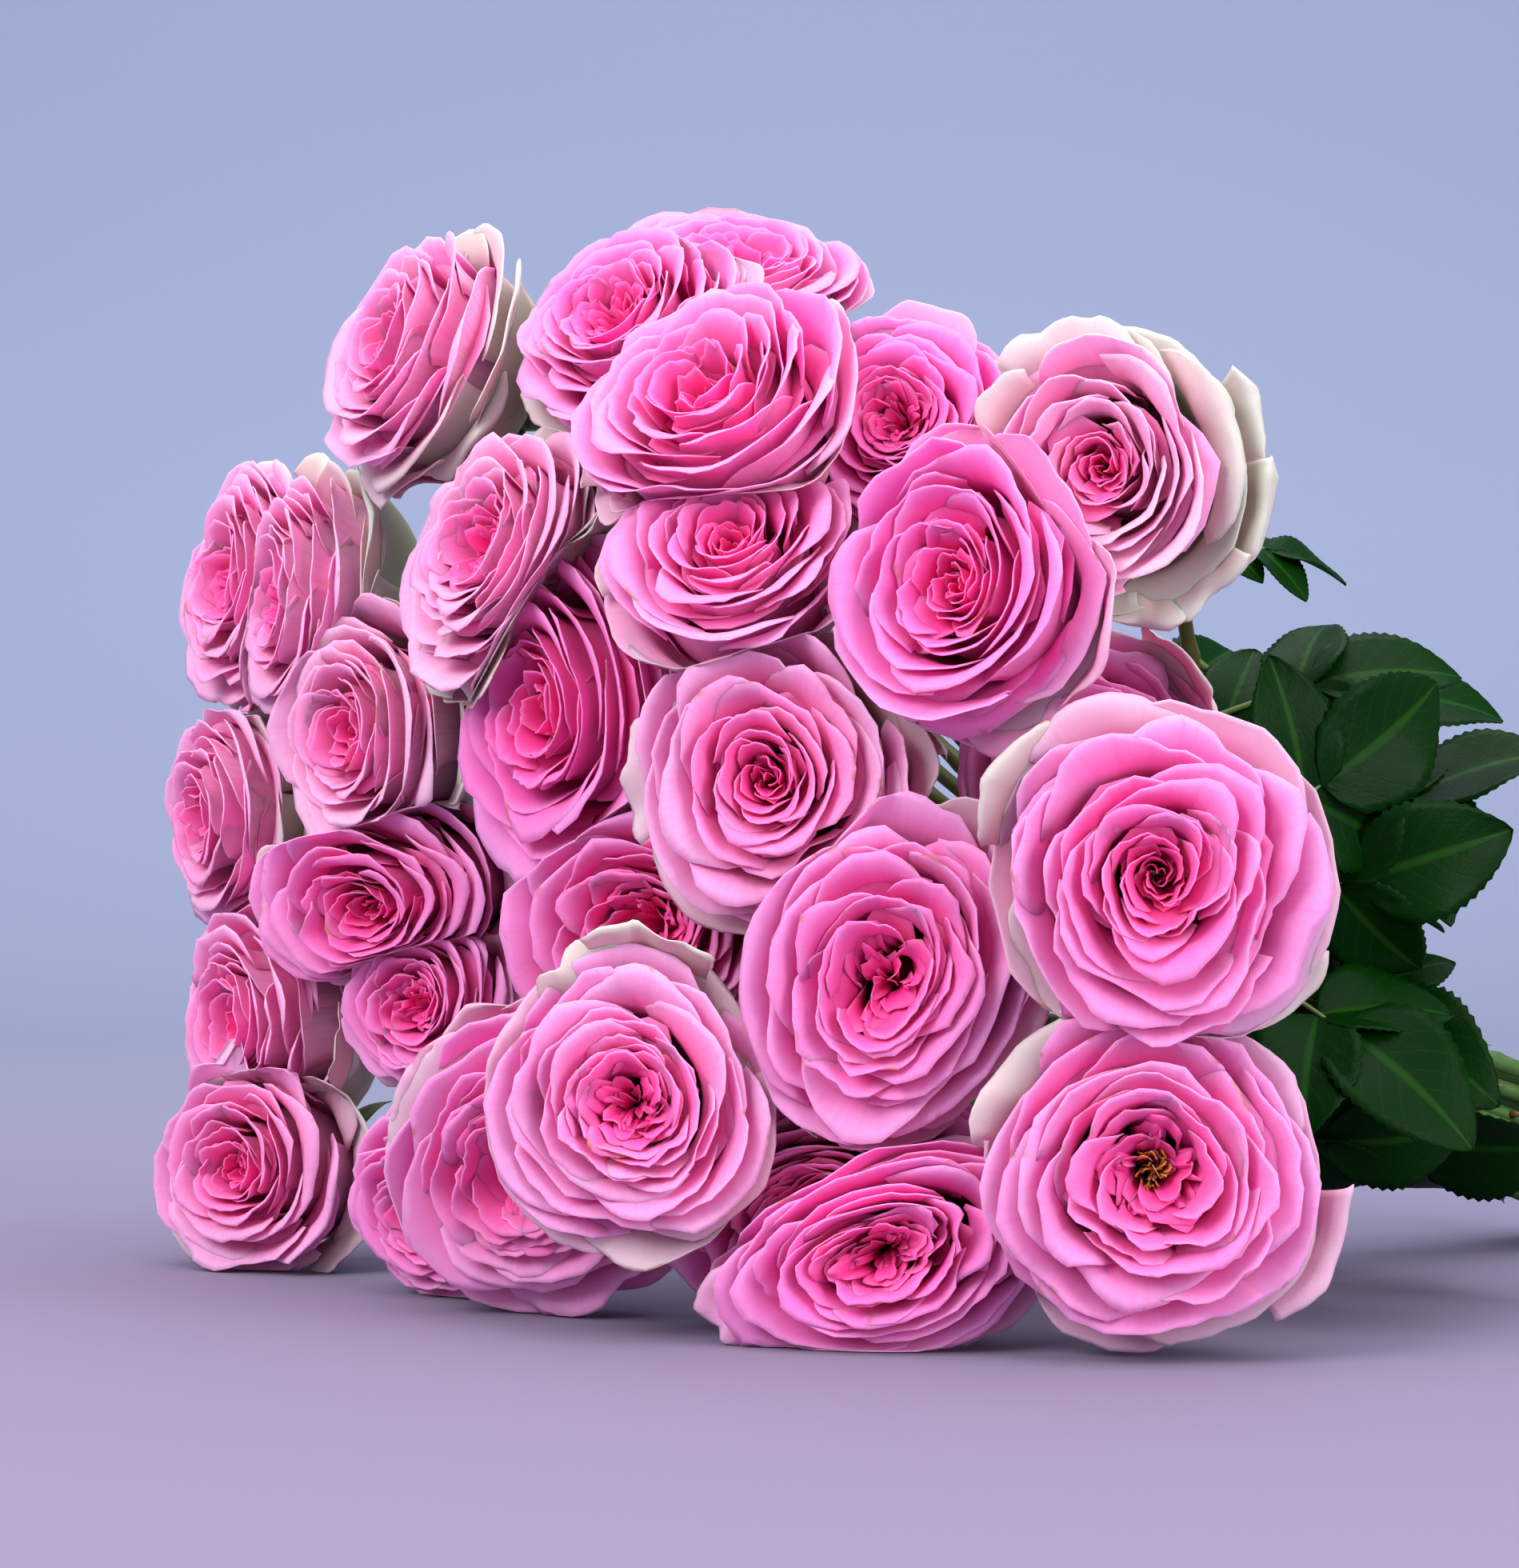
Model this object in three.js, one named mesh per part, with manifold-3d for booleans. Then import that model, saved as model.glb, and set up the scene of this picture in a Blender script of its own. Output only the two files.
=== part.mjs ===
// A bunch of cut garden roses that lies on its side. Every rose is two pieces: the bloom, which is
// the closed mass of its petals, and the stem that it grew on, with its calyx and leaves. A band
// holds the stems together behind the heads.
//
// X runs to the right across the bunch, Y to its back and Z up from the surface it lies on.
// Lengths are in millimetres and angles in degrees.
import * as THREE from "three";
import { mergeVertices } from "three/addons/utils/BufferGeometryUtils.js";
import Module from "manifold-3d";

const wasm = await Module();
wasm.setup();

// ---- Driving sizes ----
const BLOOM_WIDTH = 90; // across an open rose of size 1, which is also the pitch of the heads
const BLOOM_DEPTH = 56; // from the rim of a rose of size 1 down to its calyx
const BLOOM_CROWN = 4; // how far the middle of the petals stands above the rim
const BLOOM_FOOT = 14; // across the flat foot of the petals, where they sit on the calyx
const CALYX_WIDTH = 12;
const CALYX_LENGTH = 11;
const STEM_WIDTH = 6;
const NECK = 345; // from the middle of the heads back to the band
const TAIL = 125; // from the band to the cut ends
const TAIL_SPREAD = 1.3; // how much wider the stems stand at their cut ends than at the band
const BUNCH_TURN = 31; // the stems run to the right, and this much to the back
const BAND_WIDTH = 9;
const BAND_THICKNESS = 1.6;
const LEAF_STALK = 62;
const LEAF_STALK_WIDTH = 2.4;
const LEAFLET_LENGTH = 50;
const LEAFLET_WIDTH = 33;
const LEAFLET_THICKNESS = 1.2;
const GAP = 0.3; // between two pieces that touch
const STEM_CLEARANCE = 2.4; // between two stems that run side by side

// Where the middle of each rose's face is (right, back, up) and how big it is (width), both in
// bloom widths. It looks to the left by turn and upwards by lift. A rose that its neighbours
// squeeze is tall times as high as wide, after it is rolled anticlockwise by roll.
const ROSES = [
  { right: -1.45, back: 1.67, up: 3.66, width: 1.06, tall: 1.05, turn: 60, lift: 22, roll: 0 },
  { right: -0.54, back: 1.06, up: 3.72, width: 1.05, tall: 0.95, turn: 37, lift: 36, roll: 0 },
  { right: -0.1, back: 1.42, up: 3.96, width: 1.02, tall: 1.0, turn: -2, lift: 56, roll: 0 },
  { right: -0.22, back: 0.39, up: 3.38, width: 1.16, tall: 1.0, turn: 33, lift: 36, roll: 0 },
  { right: 0.48, back: 0.36, up: 3.26, width: 0.8, tall: 1.08, turn: 15, lift: 15, roll: 0 },
  { right: 1.12, back: -0.39, up: 3.01, width: 0.93, tall: 1.04, turn: 20, lift: 0, roll: 0 },
  { right: 0.63, back: -0.33, up: 2.66, width: 1.03, tall: 1.06, turn: 34, lift: 8, roll: 0 },
  { right: -0.12, back: 0.17, up: 2.83, width: 0.97, tall: 1.0, turn: 14, lift: 36, roll: 10 },
  { right: -1.07, back: 1.0, up: 2.82, width: 1.08, tall: 1.02, turn: 54, lift: 18, roll: 0 },
  { right: -2.2, back: 2.67, up: 2.77, width: 1.1, tall: 1.04, turn: 60, lift: 10, roll: 0 },
  { right: -1.94, back: 2.17, up: 2.67, width: 1.05, tall: 1.02, turn: 66, lift: 5, roll: 0 },
  { right: -1.62, back: 1.67, up: 2.12, width: 1.01, tall: 1.11, turn: 45, lift: 2, roll: 0 },
  { right: -0.82, back: 0.83, up: 2.2, width: 1.13, tall: 1.25, turn: 46, lift: 0, roll: 0 },
  { right: 0.03, back: 0.0, up: 1.98, width: 1.08, tall: 1.04, turn: 14, lift: 3, roll: 0 },
  { right: -2.28, back: 2.61, up: 1.8, width: 0.97, tall: 1.0, turn: 60, lift: -4, roll: 0 },
  { right: -1.55, back: 1.67, up: 1.49, width: 1.15, tall: 0.82, turn: 26, lift: -10, roll: 0 },
  { right: -0.45, back: 0.61, up: 1.4, width: 1.16, tall: 0.98, turn: 20, lift: -4, roll: 0 },
  { right: 0.43, back: -0.22, up: 1.3, width: 1.05, tall: 1.22, turn: 12, lift: 0, roll: -16 },
  { right: 1.33, back: -0.69, up: 1.61, width: 1.14, tall: 1.03, turn: 4, lift: 2, roll: 0 },
  { right: -2.12, back: 2.28, up: 0.98, width: 1.05, tall: 1.0, turn: 54, lift: 0, roll: 0 },
  { right: -2.09, back: 2.11, up: 0.43, width: 0.97, tall: 1.0, turn: 34, lift: 4, roll: 0 },
  { right: -1.35, back: 1.67, up: 1.1, width: 0.76, tall: 1.0, turn: 30, lift: 0, roll: 0 },
  { right: -0.47, back: -0.06, up: 0.84, width: 1.0, tall: 1.06, turn: 8, lift: 4, roll: 0 },
  { right: -0.86, back: 0.56, up: 0.54, width: 1.19, tall: 0.98, turn: 22, lift: -12, roll: 0 },
  { right: -1.28, back: 1.22, up: 0.33, width: 0.86, tall: 0.9, turn: 40, lift: -10, roll: 0 },
  { right: 0.19, back: 0.17, up: 0.48, width: 1.23, tall: 0.59, turn: 14, lift: -8, roll: 24 },
  { right: 0.41, back: -0.28, up: 0.32, width: 1.27, tall: 0.59, turn: 10, lift: 0, roll: 16 },
  { right: 1.3, back: -0.61, up: 0.63, width: 1.13, tall: 1.06, turn: 2, lift: 2, roll: 0 },
  { right: 1.15, back: 0.22, up: 1.98, width: 0.94, tall: 1.0, turn: 12, lift: 0, roll: 0 },
];

// The leaves that stand out of the bunch: the rose they grow on, how far down its stem towards the
// band, how big they are, and where they point, by turn and lift as the roses do.
const LEAVES = [
  { rose: 6, down: 0.16, size: 0.6, turn: -105, lift: -12 },
  { rose: 6, down: 0.42, size: 1, turn: -95, lift: 4 },
  { rose: 6, down: 0.66, size: 1.1, turn: -75, lift: 28 },
  { rose: 19, down: 0.3, size: 1.1, turn: -75, lift: 15 },
  { rose: 19, down: 0.52, size: 1.1, turn: -45, lift: -8 },
  { rose: 28, down: 0.3, size: 1, turn: -70, lift: -2 },
  { rose: 28, down: 0.6, size: 1.1, turn: -60, lift: -14 },
  { rose: 19, down: 0.16, size: 1.15, turn: -100, lift: 35 },
  { rose: 19, down: 0.42, size: 1.2, turn: -70, lift: -25 },
  { rose: 28, down: 0.45, size: 1.2, turn: -80, lift: 20 },
  { rose: 29, down: 0.4, size: 1.1, turn: -90, lift: 12 },
  { rose: 18, down: 0.45, size: 1.1, turn: -80, lift: -10 },
  { rose: 7, down: 0.32, size: 1, turn: -80, lift: 20 },
  { rose: 6, down: 0.3, size: 0.9, turn: -80, lift: -35 },
  { rose: 5, down: 0.5, size: 0.9, turn: -140, lift: 40 },
  { rose: 3, down: 0.3, size: 0.9, turn: -120, lift: 30 },
  { rose: 3, down: 0.65, size: 1, turn: -150, lift: 50 },
  { rose: 1, down: 0.3, size: 1, turn: 115, lift: 50 },
  { rose: 10, down: 0.35, size: 1, turn: 160, lift: 20 },
  { rose: 15, down: 0.45, size: 0.9, turn: 165, lift: 5 },
];

const UP = new THREE.Vector3(0, 0, 1);
const GREEN = { color: 0x2f5a2c, roughness: 0.55, metalness: 0 };
const PINK = { color: 0xf07fb4, roughness: 0.6, metalness: 0 };
const BAND_COLOUR = { color: 0xb9a06a, roughness: 0.7, metalness: 0 };

const radians = THREE.MathUtils.degToRad;

// ---- Closed meshes to solids and back ----

function solid(geometry) {
  const bare = geometry.clone();
  bare.deleteAttribute("normal");
  bare.deleteAttribute("uv");
  const merged = mergeVertices(bare, 1e-4);
  const vertProperties = merged.attributes.position.array;
  const triVerts = new Uint32Array(merged.index.array);
  return new wasm.Manifold(new wasm.Mesh({ numProp: 3, vertProperties, triVerts }));
}

function geometryOf(made) {
  const mesh = made.getMesh();
  const geometry = new THREE.BufferGeometry();
  geometry.setAttribute("position", new THREE.BufferAttribute(mesh.vertProperties, 3));
  geometry.setIndex(new THREE.BufferAttribute(mesh.triVerts, 1));
  geometry.computeVertexNormals();
  return geometry;
}

function cornersOf(made) {
  const { vertProperties, numVert } = made.getMesh();
  const corner = (_, i) => new THREE.Vector3().fromArray(vertProperties, 3 * i);
  return Array.from({ length: numVert }, corner);
}

function overlap(a, b) {
  return a.intersect(b).volume() > 1e-3;
}

// ---- The heads ----

// The way a rose looks: to the front at turn 0, to the left at turn 90.
function facing({ turn, lift }) {
  const across = Math.cos(radians(lift));
  return new THREE.Vector3(
    -Math.sin(radians(turn)) * across,
    -Math.cos(radians(turn)) * across,
    Math.sin(radians(lift)),
  );
}

// A rose's own frame: its face's middle at the origin, looking along Z, with Y up the face.
function headFrame(rose) {
  const out = facing(rose);
  const right = new THREE.Vector3().crossVectors(UP, out).normalize();
  const up = new THREE.Vector3().crossVectors(out, right);
  const place = new THREE.Vector3(rose.right, rose.back, rose.up).multiplyScalar(BLOOM_WIDTH);
  return new THREE.Matrix4()
    .makeBasis(right, up, out)
    .multiply(new THREE.Matrix4().makeRotationZ(radians(rose.roll)))
    .setPosition(place);
}

// Half the width of a rose of size 1 at a height from -BLOOM_DEPTH, its foot, to BLOOM_CROWN.
const HALF = BLOOM_WIDTH / 2;
const CUP = [
  [BLOOM_FOOT / 2, -BLOOM_DEPTH],
  [0.62 * HALF, -0.86 * BLOOM_DEPTH],
  [0.92 * HALF, -0.5 * BLOOM_DEPTH],
  [HALF, -0.16 * BLOOM_DEPTH],
  [0.9 * HALF, 0],
  [0.5 * HALF, 0.75 * BLOOM_CROWN],
];

function bloomSolid(rose) {
  const sides = 12;
  const profile = [[0, -BLOOM_DEPTH], ...CUP, [0, BLOOM_CROWN]];
  const cup = new THREE.LatheGeometry(profile.map(([r, z]) => new THREE.Vector2(r, z)), sides);
  cup.rotateX(Math.PI / 2);
  cup.scale(rose.width, rose.width * rose.tall, rose.width);
  return solid(cup.applyMatrix4(headFrame(rose)));
}

// All that lies past a plane, as a block big enough to trim a rose near the point.
function beyond(point, normal) {
  const side = 4 * BLOOM_WIDTH;
  const block = new THREE.BoxGeometry(side, side, side).translate(0, 0, side / 2);
  block.applyQuaternion(new THREE.Quaternion().setFromUnitVectors(UP, normal));
  return solid(block.translate(point.x, point.y, point.z));
}

// Directions spread evenly over a half ball.
function directions(count) {
  const golden = Math.PI * (3 - Math.sqrt(5));
  const one = (_, i) => {
    const z = (i + 0.5) / count;
    const r = Math.sqrt(1 - z * z);
    return new THREE.Vector3(r * Math.cos(golden * i), r * Math.sin(golden * i), z);
  };
  return Array.from({ length: count }, one);
}

const mean = (points) =>
  points.reduce((sum, p) => sum.add(p), new THREE.Vector3()).divideScalar(points.length);

// The plane through the middle of what two pressed roses share, square to its thinnest way through.
function contactPlane(shared) {
  const corners = cornersOf(shared);
  const centre = mean(corners);
  let best = { span: Infinity };
  for (const normal of directions(160)) {
    const along = corners.map((corner) => corner.clone().sub(centre).dot(normal));
    const low = Math.min(...along);
    const span = Math.max(...along) - low;
    if (span >= best.span) continue;
    best = { span, normal, point: centre.clone().addScaledVector(normal, low + span / 2) };
  }
  return best;
}

// Petals are soft: two roses that press on each other flatten where they meet, and so do roses on
// the surface that the bunch lies on.
function pressTogether(roses) {
  const heads = roses.map(bloomSolid);
  const spots = roses.map((rose) => new THREE.Vector3().setFromMatrixPosition(headFrame(rose)));
  for (let a = 0; a < heads.length; a++) {
    for (let b = a + 1; b < heads.length; b++) {
      if (!overlap(heads[a], heads[b])) continue;
      const { normal, point } = contactPlane(heads[a].intersect(heads[b]));
      if (spots[b].clone().sub(spots[a]).dot(normal) < 0) normal.negate();
      const back = normal.clone().negate();
      heads[a] = heads[a].subtract(beyond(point.clone().addScaledVector(back, GAP / 2), normal));
      heads[b] = heads[b].subtract(beyond(point.clone().addScaledVector(normal, GAP / 2), back));
    }
  }
  return heads.map((head, i) => head.subtract(underFloor(spots[i])));
}

// The room under the surface that the bunch lies on.
const underFloor = ({ x, y }) => beyond(new THREE.Vector3(x, y, 0), UP.clone().negate());

// ---- The stems ----

const frames = ROSES.map(headFrame);
const feet = ROSES.map((rose, i) =>
  new THREE.Vector3(0, 0, -rose.width * BLOOM_DEPTH).applyMatrix4(frames[i]),
);
const outward = ROSES.map(facing);
const middle = mean(frames.map((frame) => new THREE.Vector3().setFromMatrixPosition(frame)));
const PITCH = STEM_WIDTH + STEM_CLEARANCE;

// The stems cross the band side by side, each in the place that its head has in the bunch. They
// are drawn in towards the middle and keep each other a pitch apart.
function bandPlaces(across, upwards) {
  const draw = 0.16;
  const places = feet.map((foot) => {
    const from = foot.clone().sub(middle).multiplyScalar(draw);
    return new THREE.Vector2(from.dot(across), from.dot(upwards));
  });
  for (let round = 0; round < 400; round++) {
    places.forEach((place) => place.multiplyScalar(0.985));
    for (const a of places) {
      for (const b of places) {
        const apart = a.distanceTo(b);
        if (a === b || apart >= PITCH) continue;
        const push = a.clone().sub(b).setLength((PITCH - apart) / 2);
        a.add(push);
        b.sub(push);
      }
    }
  }
  return places;
}

const level = new THREE.Vector3(Math.cos(radians(BUNCH_TURN)), Math.sin(radians(BUNCH_TURN)), 0);
const across = new THREE.Vector3().crossVectors(UP, level);
const flatPlaces = bandPlaces(across, UP);
// The slope that brings the lowest cut end just down to the surface.
const LENGTH = NECK + TAIL;
const belowAxis = 0.4 * STEM_WIDTH - TAIL_SPREAD * Math.min(...flatPlaces.map(({ y }) => y));
const slope = Math.asin(middle.z / Math.hypot(LENGTH, belowAxis)) - Math.atan2(belowAxis, LENGTH);
const axis = level.clone().multiplyScalar(Math.cos(slope)).addScaledVector(UP, -Math.sin(slope));
const axisUp = new THREE.Vector3().crossVectors(axis, across);
const band = middle.clone().addScaledVector(axis, NECK);

const atBand = (place, along, spread) =>
  band
    .clone()
    .addScaledVector(axis, along)
    .addScaledVector(across, place.x * spread)
    .addScaledVector(axisUp, place.y * spread);

// A stem's centre line from under its calyx to just short of the band, as points on a smooth sweep.
const SWEEP_POINTS = 13;
const HELD = 2; // points at each end of a sweep that don't move
function sweep(i) {
  const start = feet[i].clone().addScaledVector(outward[i], -CALYX_LENGTH);
  const gate = atBand(flatPlaces[i], -2 * BAND_WIDTH, 1);
  const reach = start.distanceTo(gate);
  const curve = new THREE.CubicBezierCurve3(
    start,
    start.clone().addScaledVector(outward[i], -0.3 * reach),
    gate.clone().addScaledVector(axis, -0.4 * reach),
    gate,
  );
  return curve.getSpacedPoints(SWEEP_POINTS - 1);
}

// How far a point has to move, square to another stem's piece, to stand a pitch away from it.
const piece = new THREE.Line3();
const nearest = new THREE.Vector3();
function pushFromStem(point, from, to) {
  piece.set(from, to).closestPointToPoint(point, true, nearest);
  const apart = point.distanceTo(nearest);
  if (apart >= PITCH || apart === 0) return null;
  return point.clone().sub(nearest).setLength((PITCH - apart) / 2);
}

// How far a point inside another rose's petals or calyx has to move to lie beside them.
const CALYX_AND_CUP = [[CALYX_WIDTH, -BLOOM_DEPTH - 2 * CALYX_LENGTH], ...CUP];
function pushFromHead(point, rose, frame, inverse) {
  const local = point.clone().applyMatrix4(inverse).divideScalar(rose.width);
  const sideways = Math.hypot(local.x, local.y / rose.tall);
  const room = STEM_WIDTH / rose.width;
  const above = CALYX_AND_CUP.findIndex(([, z]) => z >= local.z);
  if (above < 1 || sideways === 0) return null;
  const [r1, z1] = CALYX_AND_CUP[above];
  const [r0, z0] = CALYX_AND_CUP[above - 1];
  const share = (local.z - z0) / (z1 - z0);
  const wall = r0 + (r1 - r0) * share + room;
  if (sideways >= wall) return null;
  const grow = wall / sideways - 1;
  const away = new THREE.Vector3(local.x * grow, local.y * grow, 0).multiplyScalar(rose.width);
  return away.transformDirection(frame).setLength(Math.min(away.length(), STEM_WIDTH / 2));
}

// The sweeps push each other apart and go round the other heads, as real stems do. They spring back
// towards their own smooth ways, less and less.
function settleStems() {
  const inverses = frames.map((frame) => frame.clone().invert());
  const lines = ROSES.map((_, i) => sweep(i));
  const smooth = ROSES.map((_, i) => sweep(i));
  const rounds = 300;
  for (let round = 0; round < rounds; round++) {
    const spring = Math.max(0, 1 - (1.3 * round) / rounds);
    lines.forEach((line, i) => {
      for (let k = HELD; k < SWEEP_POINTS - HELD; k++) {
        const point = line[k];
        const between = line[k - 1].clone().add(line[k + 1]).multiplyScalar(0.5);
        point.lerp(between, 0.02 * spring).lerp(smooth[i][k], 0.1 * spring);
        lines.forEach((other, j) => {
          if (i === j) return;
          for (let m = 1; m < SWEEP_POINTS; m++) {
            const push = pushFromStem(point, other[m - 1], other[m]);
            if (push) point.add(push);
          }
        });
        ROSES.forEach((rose, j) => {
          const push = i === j ? null : pushFromHead(point, rose, frames[j], inverses[j]);
          if (push) point.add(push);
        });
        point.z = Math.max(point.z, STEM_WIDTH);
      }
    });
  }
  return lines;
}

function stemCurve(line, i) {
  const foot = feet[i].clone().addScaledVector(outward[i], -CALYX_LENGTH / 2);
  const tail = [atBand(flatPlaces[i], BAND_WIDTH, 1), atBand(flatPlaces[i], TAIL, TAIL_SPREAD)];
  return new THREE.CatmullRomCurve3([foot, ...line, ...tail], false, "centripetal");
}

const curves = settleStems().map(stemCurve);

function roundSection(width, sides) {
  const corner = (_, i) => {
    const angle = (2 * Math.PI * i) / sides;
    return new THREE.Vector2(Math.cos(angle), Math.sin(angle)).multiplyScalar(width / 2);
  };
  return new THREE.Shape(Array.from({ length: sides }, corner));
}

function rod(curve, width, steps, sides) {
  const options = { steps, extrudePath: curve, bevelEnabled: false };
  return solid(new THREE.ExtrudeGeometry(roundSection(width, sides), options));
}

const STEM_STEPS = 13;
const STEM_SIDES = 6;

// The green cup under the petals, with its top just clear of their foot.
function calyx(i, room) {
  const top = -GAP;
  const half = CALYX_WIDTH / 2 + room;
  const profile = [
    [0, top - CALYX_LENGTH - room],
    [STEM_WIDTH / 2 + room, top - CALYX_LENGTH - room],
    [half, top - 0.45 * CALYX_LENGTH],
    [0.9 * half, top],
    [0, top],
  ];
  const points = profile.map(([r, z]) => new THREE.Vector2(r, z));
  const cup = new THREE.LatheGeometry(points, STEM_SIDES);
  cup.rotateX(Math.PI / 2);
  cup.applyQuaternion(new THREE.Quaternion().setFromRotationMatrix(frames[i]));
  return solid(cup.translate(feet[i].x, feet[i].y, feet[i].z));
}

// A stem and its calyx, as one solid that is bigger by room all round.
function stemSolid(curve, i, room) {
  return rod(curve, STEM_WIDTH + 2 * room, STEM_STEPS, STEM_SIDES).add(calyx(i, room));
}

// ---- The leaves ----

// A leaflet lies along X from its base at the origin, pointed at its tip.
function leafletShape(length) {
  const half = ((LEAFLET_WIDTH / LEAFLET_LENGTH) * length) / 2;
  const outline = [
    [-0.04, 0],
    [0.3, -1],
    [0.7, -0.76],
    [1, 0],
    [0.7, 0.76],
    [0.3, 1],
  ];
  return new THREE.Shape(outline.map(([x, y]) => new THREE.Vector2(x * length, y * half)));
}

function leaflet(length, along, angle) {
  const options = { depth: LEAFLET_THICKNESS, bevelEnabled: false };
  const plate = new THREE.ExtrudeGeometry(leafletShape(length), options);
  plate.translate(0, 0, -LEAFLET_THICKNESS / 2);
  plate.rotateZ(radians(angle));
  return plate.translate(along, 0, 0);
}

// A rose leaf: a stalk with two pairs of side leaflets and one at its end, from a point inside the
// stem. Its upper side looks out of the bunch.
function leaf({ rose, down, size, turn, lift }) {
  const along = facing({ turn, lift });
  const spot = curves[rose - 1].getPointAt(down * (NECK / LENGTH));
  const out = spot.clone().sub(band);
  out.addScaledVector(axis, -out.dot(axis));
  const edge = new THREE.Vector3().crossVectors(out, along).normalize();
  const normal = new THREE.Vector3().crossVectors(along, edge);
  const frame = new THREE.Matrix4().makeBasis(along, edge, normal).setPosition(spot);
  const stalkLength = size * LEAF_STALK;
  const line = new THREE.LineCurve3(new THREE.Vector3(), new THREE.Vector3(stalkLength, 0, 0));
  const end = size * LEAFLET_LENGTH;
  const blades = [
    leaflet(end, stalkLength - LEAF_STALK_WIDTH, 0),
    leaflet(0.8 * end, 0.86 * stalkLength, 62),
    leaflet(0.8 * end, 0.86 * stalkLength, -62),
    leaflet(0.68 * end, 0.45 * stalkLength, 66),
    leaflet(0.68 * end, 0.45 * stalkLength, -66),
  ];
  const stalk = rod(line, LEAF_STALK_WIDTH, 1, 6);
  const whole = blades.map(solid).reduce((sum, blade) => sum.add(blade), stalk);
  return solid(geometryOf(whole).applyMatrix4(frame));
}

// ---- The band ----

// The outline of points, anticlockwise, with none of those that lie inside it.
function outline(points) {
  const sorted = [...points].sort((a, b) => a.x - b.x || a.y - b.y);
  const turnsLeft = (a, b, c) => (b.x - a.x) * (c.y - a.y) - (b.y - a.y) * (c.x - a.x) > 0;
  const half = (list) => {
    const chain = [];
    for (const p of list) {
      while (chain.length > 1 && !turnsLeft(chain.at(-2), chain.at(-1), p)) chain.pop();
      chain.push(p);
    }
    return chain.slice(0, -1);
  };
  return [...half(sorted), ...half(sorted.reverse())];
}

function aroundStems(distance) {
  const corners = 10;
  const ring = (place) =>
    Array.from({ length: corners }, (_, i) => {
      const angle = (2 * Math.PI * i) / corners;
      return new THREE.Vector2(Math.cos(angle), Math.sin(angle)).multiplyScalar(distance).add(place);
    });
  return outline(flatPlaces.flatMap(ring));
}

function bandSolid() {
  const inside = STEM_WIDTH / 2 + 3 * GAP;
  const shape = new THREE.Shape(aroundStems(inside + BAND_THICKNESS));
  shape.holes.push(new THREE.Path(aroundStems(inside)));
  const ring = new THREE.ExtrudeGeometry(shape, { depth: BAND_WIDTH, bevelEnabled: false });
  ring.translate(0, 0, -BAND_WIDTH / 2);
  const headwards = new THREE.Vector3().crossVectors(across, axisUp);
  const frame = new THREE.Matrix4().makeBasis(across, axisUp, headwards).setPosition(band);
  return solid(ring.applyMatrix4(frame));
}

// A leaf that would meet another stem, leaf or rose turns aside, or grows a little further up or
// down its stem, until it is clear of them.
const nearestFirst = (count, step) =>
  Array.from({ length: count }, (_, n) => step * Math.ceil(n / 2) * (n % 2 ? 1 : -1));
function clearLeaf(row, others) {
  for (const slide of nearestFirst(7, 0.05)) {
    for (const aside of nearestFirst(19, 10)) {
      const blade = leaf({ ...row, down: row.down + slide, turn: row.turn + aside });
      if (!others.some((other) => overlap(blade, other))) return blade;
    }
  }
  return leaf(row);
}

function leafyStems(heads) {
  const stems = curves.map((curve, i) => stemSolid(curve, i, 0));
  for (const row of LEAVES) {
    const own = row.rose - 1;
    const others = [...heads, ...stems.filter((_, j) => j !== own)];
    stems[own] = stems[own].add(clearLeaf(row, others));
  }
  return stems.map((stem, i) => stem.subtract(underFloor(curves[i].getPoint(1))));
}

// ---- The bunch ----

// A stem that brushes past another rose parts its petals.
const passages = curves.map((curve, i) => stemSolid(curve, i, GAP));
const blooms = pressTogether(ROSES).map((head, i) =>
  passages
    .filter((passage, j) => i !== j && overlap(head, passage))
    .reduce((left, passage) => left.subtract(passage), head),
);
const stems = leafyStems(blooms);

function namedMesh(name, made, material) {
  const mesh = new THREE.Mesh(geometryOf(made), new THREE.MeshStandardMaterial(material));
  mesh.name = name;
  return mesh;
}

const label = (i) => String(i + 1).padStart(2, "0");
const bunch = new THREE.Group();
blooms.forEach((made, i) => bunch.add(namedMesh(`bloom_${label(i)}`, made, PINK)));
stems.forEach((made, i) => bunch.add(namedMesh(`stem_${label(i)}`, made, GREEN)));
bunch.add(namedMesh("band", bandSolid(), BAND_COLOUR));

// The origin is on the surface, under the middle of the bunch.
const box = new THREE.Box3().setFromObject(bunch);
const centre = box.getCenter(new THREE.Vector3());
bunch.position.set(-centre.x, -centre.y, -box.min.z);

export default bunch;
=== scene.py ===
# A bunch of pink garden roses that lies on its side. The frame gives each rose a plain solid for
# its petals and a plain stem with flat leaflets; this script grows the real petals, calyces,
# stems and leaves in their place.
import math

import bmesh
import bpy
import numpy as np
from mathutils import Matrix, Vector
from mathutils.bvhtree import BVHTree


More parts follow.
